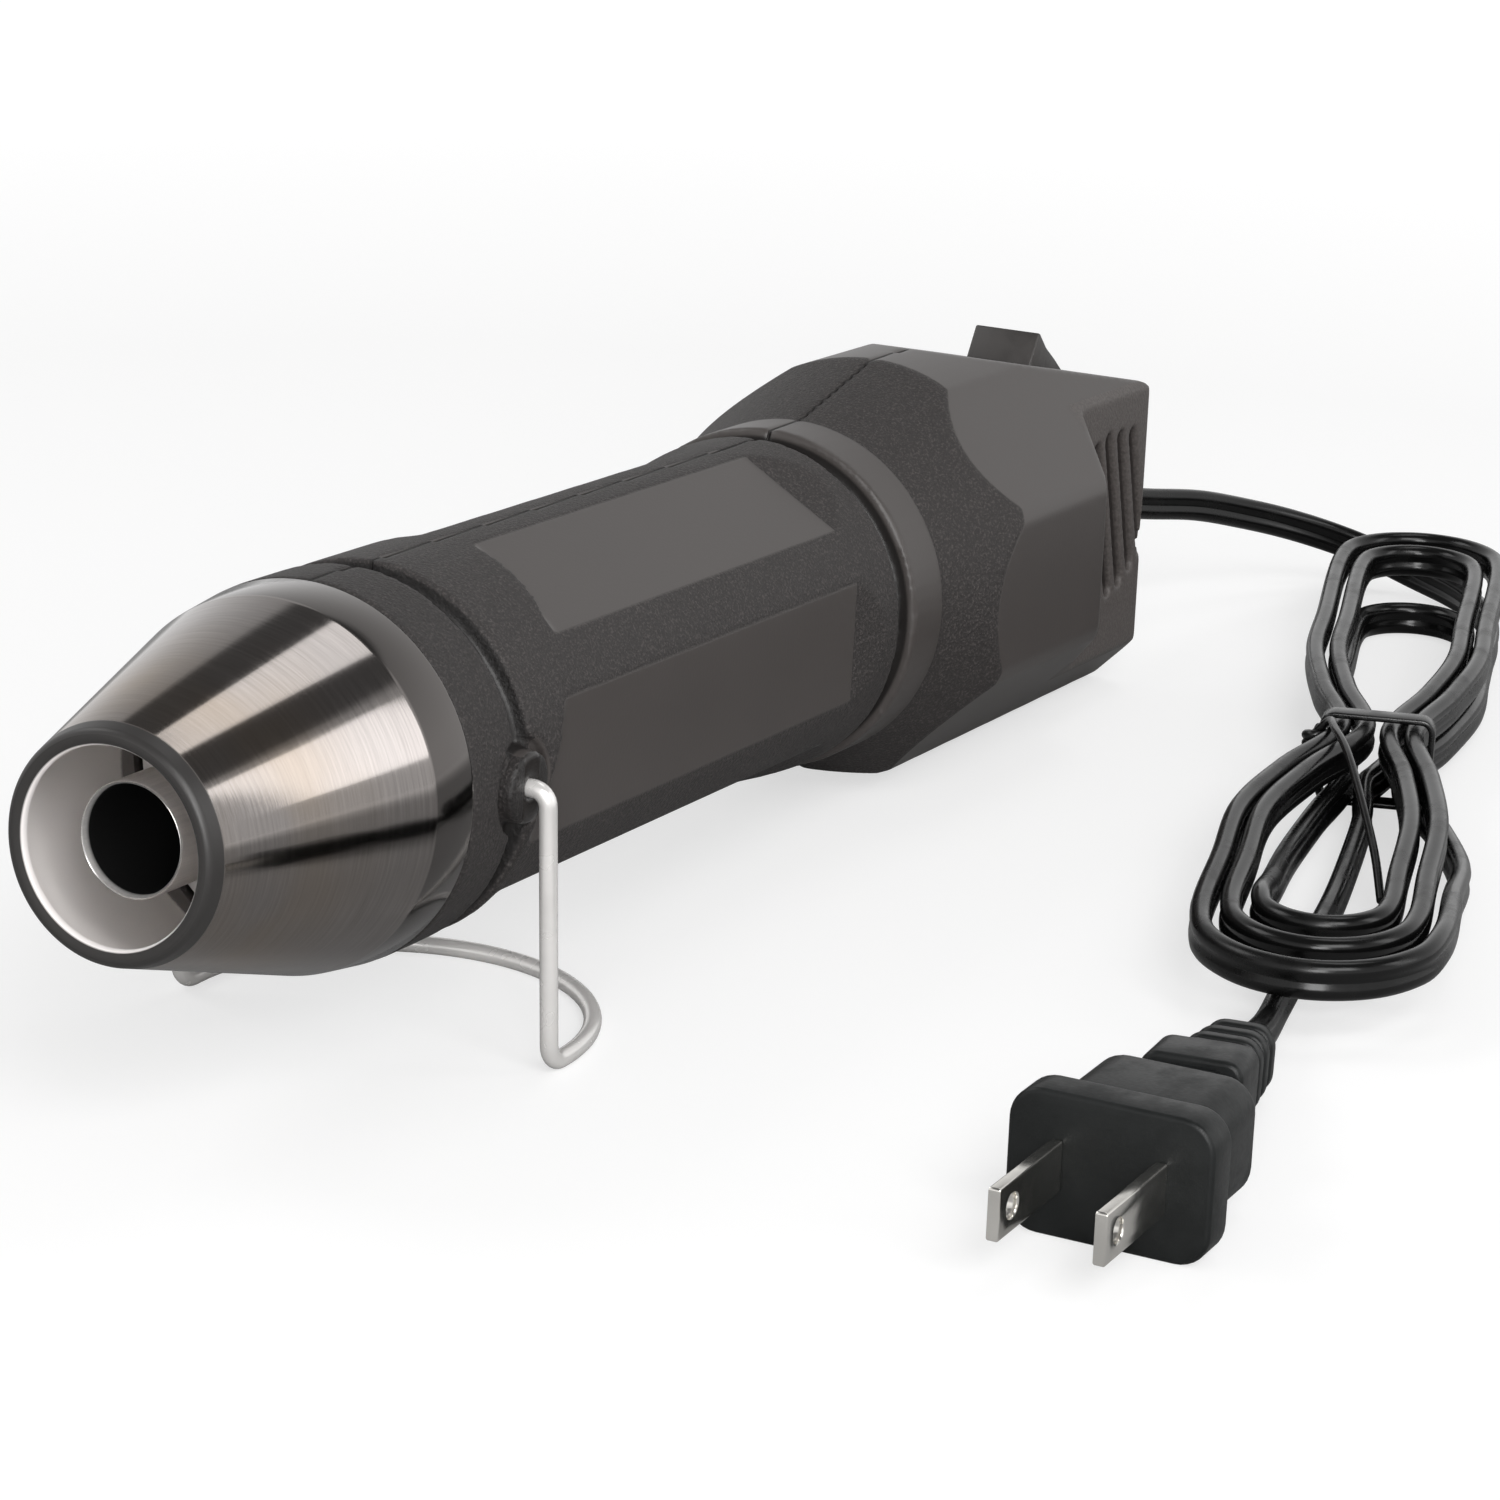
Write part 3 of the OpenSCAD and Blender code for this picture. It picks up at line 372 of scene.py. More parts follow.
def brushed_guard():
    """Smoky polished steel with fine turned lines, straw-coloured where heat reached it."""
    z = sizes()
    c = colours()
    f = Finish("brushed_guard")
    s, _, _, r, angle = f.barrel()
    rings = f.noise(1.0, 4.0, 0.7, at=f.joined(s * 2600.0, angle * 1.6, 0.0))
    fine = f.noise(1.0, 3.0, 0.6, at=f.joined(s * 7000.0, angle * 5.0, r * 900.0))
    patch = f.noise(55, 2.0, 0.5)
    rim = s.under(2.25 * MM, 0.25 * MM) * r.over(z.mouth_r - 1.95 * MM, 0.15 * MM)
    heat = s.between(2 * MM, 20 * MM, 16 * MM) * patch.over(0.45, 0.3)
    slope = (z.guard_back_r - z.mouth_r) / (z.guard_cone - z.rim_roll)
    mid_wall = (z.mouth_r - 0.5 * z.guard_wall + (s - z.rim_roll) * slope).maths(
        "MINIMUM", z.guard_back_r - 0.5 * MM)
    inside = (mid_wall - r).over(0.05 * MM, 0.1 * MM)
    skirt = s.over(z.guard_cone + 0.1 * MM, 0.3 * MM)
    grey = f.mix(rings.over(0.5, 0.5), tint(c.steel, 0.80), tint(c.steel, 1.14))
    warm = f.mix(heat * 0.5, grey, c.heated)
    dark = f.mix(skirt, warm, tint(c.steel, 0.5))
    # Painted reflection: the inner wall is made pale and matt in place of the steel's reflection of the
    # bright surroundings.
    pale = f.mix(inside, dark, c.inside)
    f.set(base_color=f.mix(rim, pale, c.rim),
          roughness=0.07 + rings * 0.08 + rim * 0.3 + inside * 0.4,
          metallic=1.0 - rim * 0.85 - inside * 0.95 * (1.0 - rim))
    f.bump(rings * 0.6 + fine * 0.4, 0.012 * MM, 0.25)
    return f.material


def drawn_steel(name, roughness, metallic, lines_per_mm=2.5, painted_bore_shade=False):
    """Bright drawn steel with fine lines along its length."""
    z = sizes()
    c = colours()
    f = Finish(name)
    s, y, u, r, _ = f.barrel()
    across = lines_per_mm / MM
    lines = f.noise(1.0, 3.0, 0.6, at=f.joined(s * 60.0, y * across, u * across))
    gloss = roughness + f.noise(300, 2.0, 0.5) * 0.12
    tone = f.mix(lines.over(0.5, 0.6), tint(c.bright, 0.85), tint(c.bright, 1.08))
    if painted_bore_shade:
        # Painted shade: the tube's bore is made black, matt and barely specular where shade falls deep inside
        # it.
        bore = r.under(z.tube_r - z.tube_wall * 0.5, 0.1 * MM) * s.over(z.tube_set + 0.5 * MM, 1.5 * MM)
        tone = f.mix(bore, tone, (0.002, 0.002, 0.002))
        gloss = gloss + bore * 0.6
        metallic = (1.0 - bore) * metallic
        f.set(specular_ior_level=0.1)
    f.set(base_color=tone, roughness=gloss, metallic=metallic)
    f.bump(lines, 0.01 * MM, 0.4)
    return f.material


def satin_rubber(name, base, roughness, grain=1600, depth=0.03, scuff=0.3, specular=0.5):
    """Flexible or moulded vinyl with a faint leathery grain and dull scuffs."""
    f = Finish(name, specular_ior_level=specular)
    grain_map = f.noise(grain, 3.0, 0.6)
    scuffs = f.noise(140, 4.0, 0.6).over(0.58, 0.2)
    f.set(base_color=f.mix(scuffs * scuff, tint(base, 0.9), tint(base, 1.9)),
          roughness=roughness + scuffs * 0.14 + (grain_map - 0.5) * 0.12)
    f.bump(grain_map, depth * MM, 0.5)
    return f.material


def plated(name, base, roughness, grain=900, metallic=1.0, depth=0.02, second=1.2):
    """Metal, board or pressed sheet with a fine grain of two tones."""
    f = Finish(name, metallic=metallic)
    grain_map = f.noise(grain, 4.0, 0.6)
    patch = f.noise(grain / 9, 2.0, 0.5)
    f.set(base_color=f.mix(patch.over(0.5, 0.5), tint(base, 0.85), tint(base, second)),
          roughness=roughness + (grain_map - 0.5) * 0.2)
    f.bump(grain_map, depth * MM, 0.4)
    return f.material


def deselect():
    if bpy.context.object and bpy.context.object.mode != "OBJECT":
        bpy.ops.object.mode_set(mode="OBJECT")
    bpy.ops.object.select_all(action="DESELECT")


def active(piece):
    deselect()
    bpy.context.view_layer.objects.active = piece
    piece.select_set(True)
    return piece


def named(name):
    piece = bpy.context.object
    piece.name = name
    piece.data.name = name
    return piece


def settle(piece, matrix=None):
    """Leaves the object at the origin with its place in its mesh."""
    if matrix is not None:
        piece.data.transform(matrix)
    active(piece)
    bpy.ops.object.transform_apply(location=True, rotation=True, scale=True)
    return piece


def modify(piece, kind, **settings):
    active(piece)
    modifier = piece.modifiers.new(kind.title(), kind)
    for name, value in settings.items():
        setattr(modifier, name, value)
    bpy.ops.object.modifier_apply(modifier=modifier.name)
    return piece


def smooth(piece, angle=None):
    active(piece)
    if angle is None:
        bpy.ops.object.shade_smooth()
    else:
        bpy.ops.object.shade_smooth_by_angle(angle=math.radians(angle))
    return piece


def dress(piece, material, body, slot, *replaced):
    piece.data.materials.clear()
    piece.data.materials.append(material)
    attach(piece, body)
    if replaced:
        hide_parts(*replaced)
    return piece


def added(name, data):
    """Puts a new object with its data in the scene."""
    piece = bpy.data.objects.new(name, data)
    bpy.context.scene.collection.objects.link(piece)
    return piece


def mended(piece, gap=0.001 * MM, outwards=True):
    """Merges points that lie within a gap and turns the faces outwards."""
    active(piece)
    bpy.ops.object.mode_set(mode="EDIT")
    bpy.ops.mesh.select_all(action="SELECT")
    bpy.ops.mesh.remove_doubles(threshold=gap)
    if outwards:
        bpy.ops.mesh.normals_make_consistent(inside=False)
    bpy.ops.object.mode_set(mode="OBJECT")
    return piece


def mesh_copy(node, name):
    """A merged copy of a node's mesh, ready to be softened."""
    piece = added(name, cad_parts[node].data.copy())
    piece.data.name = name
    mended(piece, 0.002 * MM, outwards=False)
    for layer in ("custom_normal", "sharp_edge", "sharp_face"):
        if layer in piece.data.attributes:
            piece.data.attributes.remove(piece.data.attributes[layer])
    return piece


def pick(piece, kind, wanted):
    """Opens a piece for editing with only the wanted faces or edges selected."""
    active(piece)
    bpy.ops.object.mode_set(mode="EDIT")
    bpy.ops.mesh.select_mode(type=kind)
    bpy.ops.mesh.select_all(action="DESELECT")
    bpy.ops.object.mode_set(mode="OBJECT")
    for part in piece.data.polygons if kind == "FACE" else piece.data.edges:
        part.select = wanted(part)
    bpy.ops.object.mode_set(mode="EDIT")


def round_along_x(piece, least, offset, segments):
    """Rounds the edges that run along X for more than a length."""
    def runs_along(edge):
        a, b = (piece.data.vertices[v].co for v in edge.vertices)
        return abs(a.x - b.x) > least

    pick(piece, "EDGE", runs_along)
    bpy.ops.mesh.bevel(offset=offset, segments=segments)
    bpy.ops.object.mode_set(mode="OBJECT")
    return piece


def soften(piece, width, angle, segments=3):
    """Rounds the edges that turn by more than an angle, over a width in millimetres."""
    return modify(piece, "BEVEL", width=width * MM, segments=segments, limit_method="ANGLE",
                  angle_limit=math.radians(angle))


def block(name, size, at, corner, rounding):
    """A block in millimetres, its edges along X well rounded and the rest slightly."""
    deselect()
    bpy.ops.mesh.primitive_cube_add(size=1.0, location=Vector(at) * MM, scale=Vector(size) * MM)
    piece = settle(named(name))
    round_along_x(piece, 0.5 * size[0] * MM, corner * MM, segments=8)
    return soften(piece, rounding, angle=40)


def spun(name, profile, turns, matrix):
    """A ring turned from a closed profile of (along, radius) points in metres."""
    deselect()
    bpy.ops.mesh.primitive_circle_add(vertices=len(profile), radius=MM)
    piece = named(name)
    for vertex, (s, r) in zip(piece.data.vertices, profile):
        vertex.co = (s, 0.0, r)
    bpy.ops.object.mode_set(mode="EDIT")
    bpy.ops.mesh.select_all(action="SELECT")
    bpy.ops.mesh.spin(steps=turns, angle=2 * math.pi, center=(0, 0, 0), axis=(1, 0, 0))
    bpy.ops.object.mode_set(mode="OBJECT")
    return settle(mended(piece), matrix)


def swept(name, path, section):
    """A section carried along a path that starts along X, closed at both ends."""
    count, last = len(section), len(path) - 1
    points, faces = [], []
    for i, at in enumerate(path):
        ahead = (path[min(i + 1, last)] - path[i - 1]).normalized() if i else Vector((1, 0, 0))
        side = Vector((0, 0, 1)).cross(ahead).normalized()
        above = ahead.cross(side)
        points += [at + side * a + above * b for a, b in section]
    for i in range(last):
        for k in range(count):
            m = (k + 1) % count
            faces.append((i * count + k, i * count + m, (i + 1) * count + m, (i + 1) * count + k))
    faces.append(tuple(reversed(range(count))))
    faces.append(tuple(range(len(points) - count, len(points))))
    mesh = bpy.data.meshes.new(name)
    mesh.from_pydata(points, [], faces)
    return mended(added(name, mesh))


def arc(cx, cy, radius, start, end, steps):
    """Points on a circle, by angles in degrees."""
    turns = [math.radians(start + (end - start) * i / steps) for i in range(steps + 1)]
    return [(cx + radius * math.cos(a), cy + radius * math.sin(a)) for a in turns]


def wire(name, points, radius, sides=4):
    """A round wire along points, made with a bevelled curve and turned into a mesh."""
    curve = bpy.data.curves.new(name, "CURVE")
    curve.dimensions = "3D"
    curve.bevel_depth = radius
    curve.bevel_resolution = sides
    curve.use_fill_caps = True
    spline = curve.splines.new("POLY")
    spline.points.add(len(points) - 1)
    for knot, point in zip(spline.points, points):
        knot.co = (*point, 1.0)
    active(added(name, curve))
    bpy.ops.object.convert(target="MESH")
    return settle(smooth(mended(named(name)), 50))


def joined(name, pieces):
    deselect()
    for piece in pieces:
        piece.select_set(True)
    bpy.context.view_layer.objects.active = pieces[0]
    bpy.ops.object.join()
    return named(name)


def bend_between(a, b, c, d, steps):
    """Points from b towards c on a curve that keeps its shape where knots lie unevenly."""
    before, here, after = ((q - p).length ** 0.5 for p, q in ((a, b), (b, c), (c, d)))
    leave = ((b - a) / before - (c - a) / (before + here) + (c - b) / here) * here
    arrive = ((c - b) / here - (d - b) / (here + after) + (d - c) / after) * here
    out = []
    for k in range(steps):
        t = k / steps
        out.append((2 * t ** 3 - 3 * t * t + 1) * b + (t ** 3 - 2 * t * t + t) * leave
                   + (3 * t * t - 2 * t ** 3) * c + (t ** 3 - t * t) * arrive)
    return out


def smoothed(points, steps):
    """A smooth path through points, in so many steps from each to the next."""
    last = len(points) - 1
    out = []
    for i in range(last):
        before = points[i - 1] if i else 2 * points[0] - points[1]
        after = points[i + 2] if i < last - 1 else 2 * points[last] - points[last - 1]
        out += bend_between(before, points[i], points[i + 1], after, steps)
    return out + [points[last]]


# The hank, in millimetres and degrees. Its half loops lie in turn to the far and the near
# side of a waist, in two layers, and the tie binds them there.
WAIST = Vector((88.4, -74.3, 0))
FAR_TURN, NEAR_TURN = 16, 196
LOBES, LOBE_STEPS, BOW_STEP, LOBE_RUN, HANK_FIRST = 7, 14, 4, 64, 11
REACH = (100, 106, 118, 97, 109, 88, 99)
TIP_R = (12.7, 15.6, 12.8, 12.1, 9.2, 8.4, 8.9)
TIP_LEN = (12.7, 19, 14, 15, 10, 10, 9.5)
WAIST_W = (5.4, 4.1, 5.4, 5.4, 1.8, 1.8, 3.9, 0.2)
WAIST_LAYER = (1, 0, 1, 1, 1, 1, 0, 0)
RUN_SHARES = (0, 0.34, 0.67, 1)
SWELL_SHARES = (0, 0.58, 0.98, 1)
LAYER_SHARES = (1, 1, 0.9, 0.4, 0, 0, 0, 0)
HUMP_SHARES = (0, 0, 0.12, 0.6, 1, 1, 1, 1)
NEAR_LEAN, TIE_LIFT = 1.5, 1
FLOOR_Z, LAYER_Z = 2.65, 6.5

# The free lead from the housing to the hank, and the tail from the hank to the plug's neck
LEAD_ROUTE = ((157, -1.9, 21.4), (167, -4.8, 19.6), (178.5, -8.8, 17.6), (188, -13, 15), (197, -18.4, 12),
              (203.5, -24.6, 9), (207, -31.6, 6.2), (206.8, -39, 3.9), (202.6, -47, 2.9), (195, -54, 2.65),
              (185.5, -59.3, 2.65), (175.5, -62.9, 2.65))
TAIL_ROUTE = ((69.1, -79.6, 3.3), (49.6, -84.6, 2.65), (30, -89.2, 2.65), (10.4, -92.9, 2.65),
              (-7, -96.3, 2.65))
RELIEF_U = -6

# The strain relief as (along, radius): its foot in the housing, one rib and the rear end
RELIEF_FOOT = ((-3.8, 0.3), (-3.8, 5.3), (-3.5, 5.6), (-2.05, 5.6), (-2.05, 4.0), (0.0, 4.0),
               (0.0, 5.4), (0.25, 5.6), (0.95, 5.6), (1.2, 5.35), (1.3, 4.1))
RELIEF_RIB = ((0, 4.45), (0.25, 4.6), (0.95, 4.6), (1.2, 4.45))
RELIEF_END = ((17.6, 3.5), (18.0, 3.3), (18.0, 0.3))
RELIEF_SPACES, RELIEF_FRONT_R, RELIEF_TAPER = 5, 4.0, 0.5 / 18

# The tie: a band round the waist, a knot of coiled wire at its front and a loose end
TIE_BESIDE, TIE_ABOVE = 0.6, 0.3
BAND_WIDE, BAND_THICK, BAND_CORNER = 3.5, 1.0, 2.2
KNOT_STEPS, KNOT_TURN, KNOT_HIGH = 34, 42, 5.0
KNOT_WIRE_R, END_WIRE_R = 0.75, 0.6
TIE_END = ((83, -68.6, 13.4), (77, -71.6, 14.3), (69, -76.4, 13.9), (58, -82.8, 11), (46, -89.6, 7),
           (36, -94.4, 3.8))

# The plug: a face plate and a back that overlap, then a neck that widens away from the lead
PLUG_AT = Vector((-87.1, -106.35, 8.75))
PLATE_LEN, BACK_LEN, BACK_SET = 5.5, 16.5, 3.5
BACK_NARROWER, BACK_LOWER = 5, 3
NECK_END = Vector((-29.5, -100.8, 4.9))
NECK_DROOP, NECK_YAW, NECK_LEN = 5, 7.3, 40
NECK_W, NECK_H = 9.6, 9.4
COLLAR_SIZE, COLLAR_AT = (9, 12.6, 12.2), 25.5
RIBS, RIB_FIRST, RIB_STEP, RIB_LEN = 4, 5.5, 4.2, 2.3

# The guard's sheet as (along, out): over the cone's back edge, and round the skirt's end
CONE_EDGE = ((-0.35, -0.11), (-0.1, -0.05), (0.15, -0.01), (0.5, 0.04))
SKIRT_EDGE = ((-0.5, -0.05), (-0.1, -0.15), (0.0, -0.35))


def lobe(k, i):
    """A point of one half loop of the hank, in millimetres."""
    far = k % 2 == 0
    h = min(i, LOBE_STEPS - i)
    out = i < LOBE_STEPS / 2
    w, layer = (WAIST_W[k], WAIST_LAYER[k]) if out else (WAIST_W[k + 1], WAIST_LAYER[k + 1])
    bow = math.radians(max(h - BOW_STEP, 0) * 180 / (LOBE_STEPS - 2 * BOW_STEP))
    if h < BOW_STEP:
        x = LOBE_RUN * RUN_SHARES[h]
        wide = w + (TIP_R[k] - w) * SWELL_SHARES[h]
    else:
        x = REACH[k] - TIP_LEN[k] + TIP_LEN[k] * math.sin(bow)
        wide = TIP_R[k] * math.cos(bow)
    y = (wide if out else -wide) - (0 if far else NEAR_LEAN * x / REACH[k])
    turn = math.radians(FAR_TURN if far else NEAR_TURN)
    fall = 1 if far and layer == 1 else LAYER_SHARES[h]
    lift = FLOOR_Z + (TIE_LIFT + LAYER_Z * layer) * fall + (0 if far else LAYER_Z * HUMP_SHARES[h])
    return WAIST + Vector((x * math.cos(turn) - y * math.sin(turn),
                           x * math.sin(turn) + y * math.cos(turn), lift))


def relief_foot():
    """Where the strain relief leaves the housing's rear face, in metres."""
    foot = placed(sizes().rear_at, 0, 0)
    return Vector((foot.x, 0, foot.z + RELIEF_U * MM))


def cord_points():
    """The whole lead from the strain relief to the plug, in metres."""
    z = sizes()
    w = z.cord_w / MM
    start = (relief_foot() + Vector((z.relief_len, 0, 0))) / MM
    hank = [lobe(0, i) for i in range(HANK_FIRST, LOBE_STEPS)]
    hank += [lobe(k, i) for k in range(1, LOBES) for i in range(LOBE_STEPS)] + [lobe(LOBES - 1, LOBE_STEPS)]
    first, final = (hank[1] - hank[0]).normalized(), (hank[-1] - hank[-2]).normalized()
    lead = [start] + [Vector(p) for p in LEAD_ROUTE] + [hank[0] - 2 * w * first]
    droop, yaw = math.radians(NECK_DROOP), math.radians(NECK_YAW)
    neck = Vector((math.cos(droop) * math.cos(yaw), math.cos(droop) * math.sin(yaw), -math.sin(droop)))
    tail = [hank[-1] + w * final] + [Vector(p) for p in TAIL_ROUTE] + [NECK_END + 1.5 * w * neck, NECK_END]
    return [p * MM for p in lead + hank + tail]


def twin_section(z):
    """Outline of the flat twin lead: two round cores and the web between them."""
    core = z.cord_t / 2
    centre = z.cord_w / 2 - core
    meet = math.degrees(math.acos(z.web_t / z.cord_t))
    top = arc(0, centre, core, -meet, 180 + meet, 12)
    return top + [(-x, -y) for x, y in top]


# The view, solved in millimetres along, across and above the barrel. The focal length is
# in pixels of a frame that is VIEW_PIXELS wide.
VIEW_AT = Vector((-410.904, -284.236, 147.147))
VIEW_AHEAD = Vector((0.86528448, 0.43061012, -0.25662754))
VIEW_RIGHT = Vector((0.45802298, -0.88719592, 0.05566288))
VIEW_ABOVE = Vector((0.20370991, 0.16570554, 0.96490619))
VIEW_FOCAL, VIEW_PIXELS = 4599.75, 1500

# Lamps as name, place and size in metres, and power in watts. All of them face LAMP_AIM.
LAMPS = (
    ("key", (-0.72, -0.82, 0.9), (0.8, 0.6), 9.0),
    ("mouth", (-1.15, -0.62, 0.42), (0.5, 0.5), 8.5),
    ("side_strip", (0.42, -1.0, 0.56), (0.30, 0.62), 1.45),
    ("top_strip", (0.48, -0.1, 1.1), (0.48, 0.34), 1.1),
    ("back", (-0.2, 1.2, 1.3), (0.9, 0.63), 5.0),
)
LAMP_AIM = Vector((0, 0, 0.03))

# What shiny surfaces see, from straight ahead up to overhead: a pale wall, a dark ceiling
WALL_STOPS = ((0.18, 1.0), (0.42, 0.85), (0.66, 0.62), (0.70, 0.13), (1.0, 0.13))
ROOM_LIGHT = 0.32


class HEATTOOL_OT_camera(bpy.types.Operator):
    """Looks at the tool from its front left, a little above"""

    bl_idname = "heattool.camera"
    bl_label = "Camera"

    def execute(self, context):
        data = bpy.data.cameras.new("camera")
        data.sensor_width = 36.0
        data.lens = data.sensor_width * VIEW_FOCAL / VIEW_PIXELS
        data.clip_start = 0.01
        data.clip_end = 20.0
        camera = added("camera", data)
        local = Matrix((VIEW_RIGHT, VIEW_ABOVE, -VIEW_AHEAD)).transposed().to_4x4()
        local.translation = VIEW_AT * MM
        camera.matrix_world = tool_matrix() @ local
        context.scene.camera = camera
        return {"FINISHED"}


class HEATTOOL_OT_stage(bpy.types.Operator):
    """Puts a plain white floor and soft studio lights round the tool"""

    bl_idname = "heattool.stage"
    bl_label = "Floor and lights"

    def lay_floor(self):
        """A matt floor that also glows, so that it meets the white behind it."""
        deselect()
        bpy.ops.mesh.primitive_plane_add(size=6.0, location=(1.2, 0.4, 0))
        floor = settle(named("floor"))
        f = Finish("studio_floor", roughness=0.9)
        f.set(base_color=f.mix(f.noise(3, 1.0), (0.37, 0.37, 0.37), (0.39, 0.39, 0.39)))
        seen, mirrored, through = f.rays()
        far = f.node("VectorMath", {"operation": "LENGTH"}, (f.place(),), "Value").over(0.75, 0.8)
        glow = (seen + through) * (0.62 + far * 0.3) + mirrored * far * 0.85
        f.set(emission_color=(1, 1, 1), emission_strength=glow)
        floor.data.materials.append(f.material)

    def hang_lamps(self):
        for name, place, size, power in LAMPS:
            light = bpy.data.lights.new(name, "AREA")
            light.shape = "RECTANGLE"
            light.size, light.size_y = size
            light.energy = power
            lamp = added(name, light)
            lamp.location = place
            lamp.rotation_euler = (LAMP_AIM - Vector(place)).to_track_quat("-Z", "Y").to_euler()

    def paint_world(self, context):
        """White where it is looked at, grey as light, and a painted room in reflections."""
        world = bpy.data.worlds.new("studio")
        context.scene.world = world
        w = Wiring(world, "OutputWorld")
        up = w.split(w.node("TexCoord", {}, (), "Generated"))[2]
        room = w.node("ValToRGB", {"stops": WALL_STOPS}, (up,))
        white, grey, wall = (
            w.node("Background", {}, {"Color": tone, "Strength": strength})
            for tone, strength in (((1, 1, 1), 1.0), ((1, 1, 1), ROOM_LIGHT), (room, 1.0)))
        seen, mirrored, through = w.rays()
        unseen = w.node("MixShader", {}, (mirrored, grey, wall))
        sky = w.node("MixShader", {}, (seen.maths("MAXIMUM", through), unseen, white))
        w.feed(w.output.inputs["Surface"], sky)

    def execute(self, context):
        self.lay_floor()
        self.hang_lamps()
        self.paint_world(context)
        context.scene.view_settings.view_transform = "Standard"
        return {"FINISHED"}


class HEATTOOL_OT_lead(bpy.types.Operator):
    """Lays the flat twin lead from the strain relief through its hank to the plug"""

    bl_idname = "heattool.lead"
    bl_label = "Lead"

    def execute(self, context):
        z = sizes()
        path = smoothed(cord_points(), 7)
        run = sum((b - a).length for a, b in zip(path, path[1:]))
        piece = smooth(swept("mains_lead", path, twin_section(z)), 60)
        material = satin_rubber("satin_lead", colours().lead, 0.2, grain=1300, depth=0.012, scuff=0.25,
                                specular=0.3)
        dress(piece, material, "housing", "cord_black", "cord_lead", "cord_hank", "cord_tail")
        return {"FINISHED"}


class HEATTOOL_OT_tie(bpy.types.Operator):
    """Binds the hank with a covered wire, its knot at the front and a loose end"""

    bl_idname = "heattool.tie"
    bl_label = "Tie"

    def execute(self, context):
        z = sizes()
        half = (WAIST_W[0] + TIE_BESIDE) * MM + z.cord_t / 2
        top = (TIE_LIFT + LAYER_Z + TIE_ABOVE) * MM + z.cord_w
        waist = Matrix.Translation(WAIST * MM) @ Matrix.Rotation(math.radians(FAR_TURN), 4, "Z")
        wide, thick = BAND_WIDE * MM, BAND_THICK * MM
        deselect()
        bpy.ops.mesh.primitive_cube_add(size=1.0, location=(0, 0, (top + thick) / 2),
                                        scale=(wide, 2 * half + 2 * thick, top + thick))
        band = settle(named("wire_tie"))
        pick(band, "FACE", lambda face: abs(face.normal.x) > 0.9)
        bpy.ops.mesh.delete(type="FACE")
        bpy.ops.object.mode_set(mode="OBJECT")
        round_along_x(band, 0.5 * wide, BAND_CORNER * MM, segments=6)
        modify(band, "SOLIDIFY", thickness=0.9 * thick, offset=-1.0)
        smooth(soften(band, 0.3, angle=30), 40)

        side, high = half + 1.2 * thick, 0.66 * top
        knot_at = Vector((-1.2 * MM, side + 0.5 * MM, high))
        coil = []
        for i in range(KNOT_STEPS + 1):
            a = math.radians(i * KNOT_TURN)
            rise = KNOT_HIGH * (i / KNOT_STEPS - 0.5)
            coil.append(knot_at + Vector((math.cos(a), 1.1 * math.sin(a), rise)) * MM)
        knot = wire("tie_knot", coil, KNOT_WIRE_R * MM)
        to_waist = waist.inverted()
        loose = [knot_at + Vector((0, -0.1, 2)) * MM] + [to_waist @ (Vector(p) * MM) for p in TIE_END]
        end = wire("tie_end", smoothed(loose, 6), END_WIRE_R * MM)
        piece = settle(joined("wire_tie", [band, knot, end]), waist)
        dress(piece, satin_rubber("tie_cover", tint(colours().lead, 1.1), 0.22, grain=900, scuff=0.4),
              "housing", "tie_black", "cord_tie")
        return {"FINISHED"}


class HEATTOOL_OT_plug(bpy.types.Operator):
    """Moulds the plug with its face plate, ribbed neck and two blades"""

    bl_idname = "heattool.plug"
    bl_label = "Plug"

    def neck(self):
        """The tapered neck with its collar and ribs, lying along X from the lead's end."""
        neck = block("plug_neck", (NECK_LEN, NECK_W, NECK_H), (-NECK_LEN / 2, 0, 0), corner=2.6, rounding=0.5)
        for vertex in neck.data.vertices:
            share = -vertex.co.x / (NECK_LEN * MM)
            vertex.co.y *= 0.62 + 0.62 * share
            vertex.co.z *= 0.66 + 0.52 * share
        parts = [neck, block("plug_collar", COLLAR_SIZE, (-COLLAR_AT, 0, 0), corner=2.2, rounding=0.7)]
        for k in range(RIBS):
            at = RIB_FIRST + RIB_STEP * k
            share = at / NECK_LEN
            size = (RIB_LEN, NECK_W * (0.86 + 0.5 * share), NECK_H * (0.88 + 0.4 * share))
            parts.append(block(f"plug_rib_{k}", size, (-at, 0, 0), corner=2.8, rounding=0.5))
        return parts

    def execute(self, context):
        z = sizes()
        wide, high = z.plug_w / MM, z.plug_h / MM
        plate = block("plug_plate", (PLATE_LEN, wide, high),
                      PLUG_AT + Vector((PLATE_LEN / 2, 0, 0)), corner=4, rounding=0.6)
        back = block("plug_back", (BACK_LEN, wide - BACK_NARROWER, high - BACK_LOWER),
                     PLUG_AT + Vector((BACK_SET + BACK_LEN / 2, 0, 0)), corner=4, rounding=1.3)
        neck_at = Matrix.Translation(NECK_END * MM) @ Matrix.Rotation(math.radians(NECK_YAW), 4, "Z") \
            @ Matrix.Rotation(math.radians(NECK_DROOP), 4, "Y")
        neck = [settle(part, neck_at) for part in self.neck()]
        piece = smooth(joined("plug_moulding", [plate, back] + neck), 35)
        vinyl = satin_rubber("plug_vinyl", colours().plug, 0.4, grain=1500, depth=0.05, scuff=0.2,
                             specular=0.32)
        dress(piece, vinyl, "housing", "cord_black", "plug_body")
        metal = plated("nickel_blade", (0.78, 0.76, 0.72), 0.2, grain=700)
        for name, node in (("live_pin", "live_blade"), ("neutral_pin", "neutral_blade")):
            pin = smooth(soften(mesh_copy(node, name), 0.3, angle=40), 30)
            dress(pin, metal, "housing", "blade_brass", node)
        return {"FINISHED"}


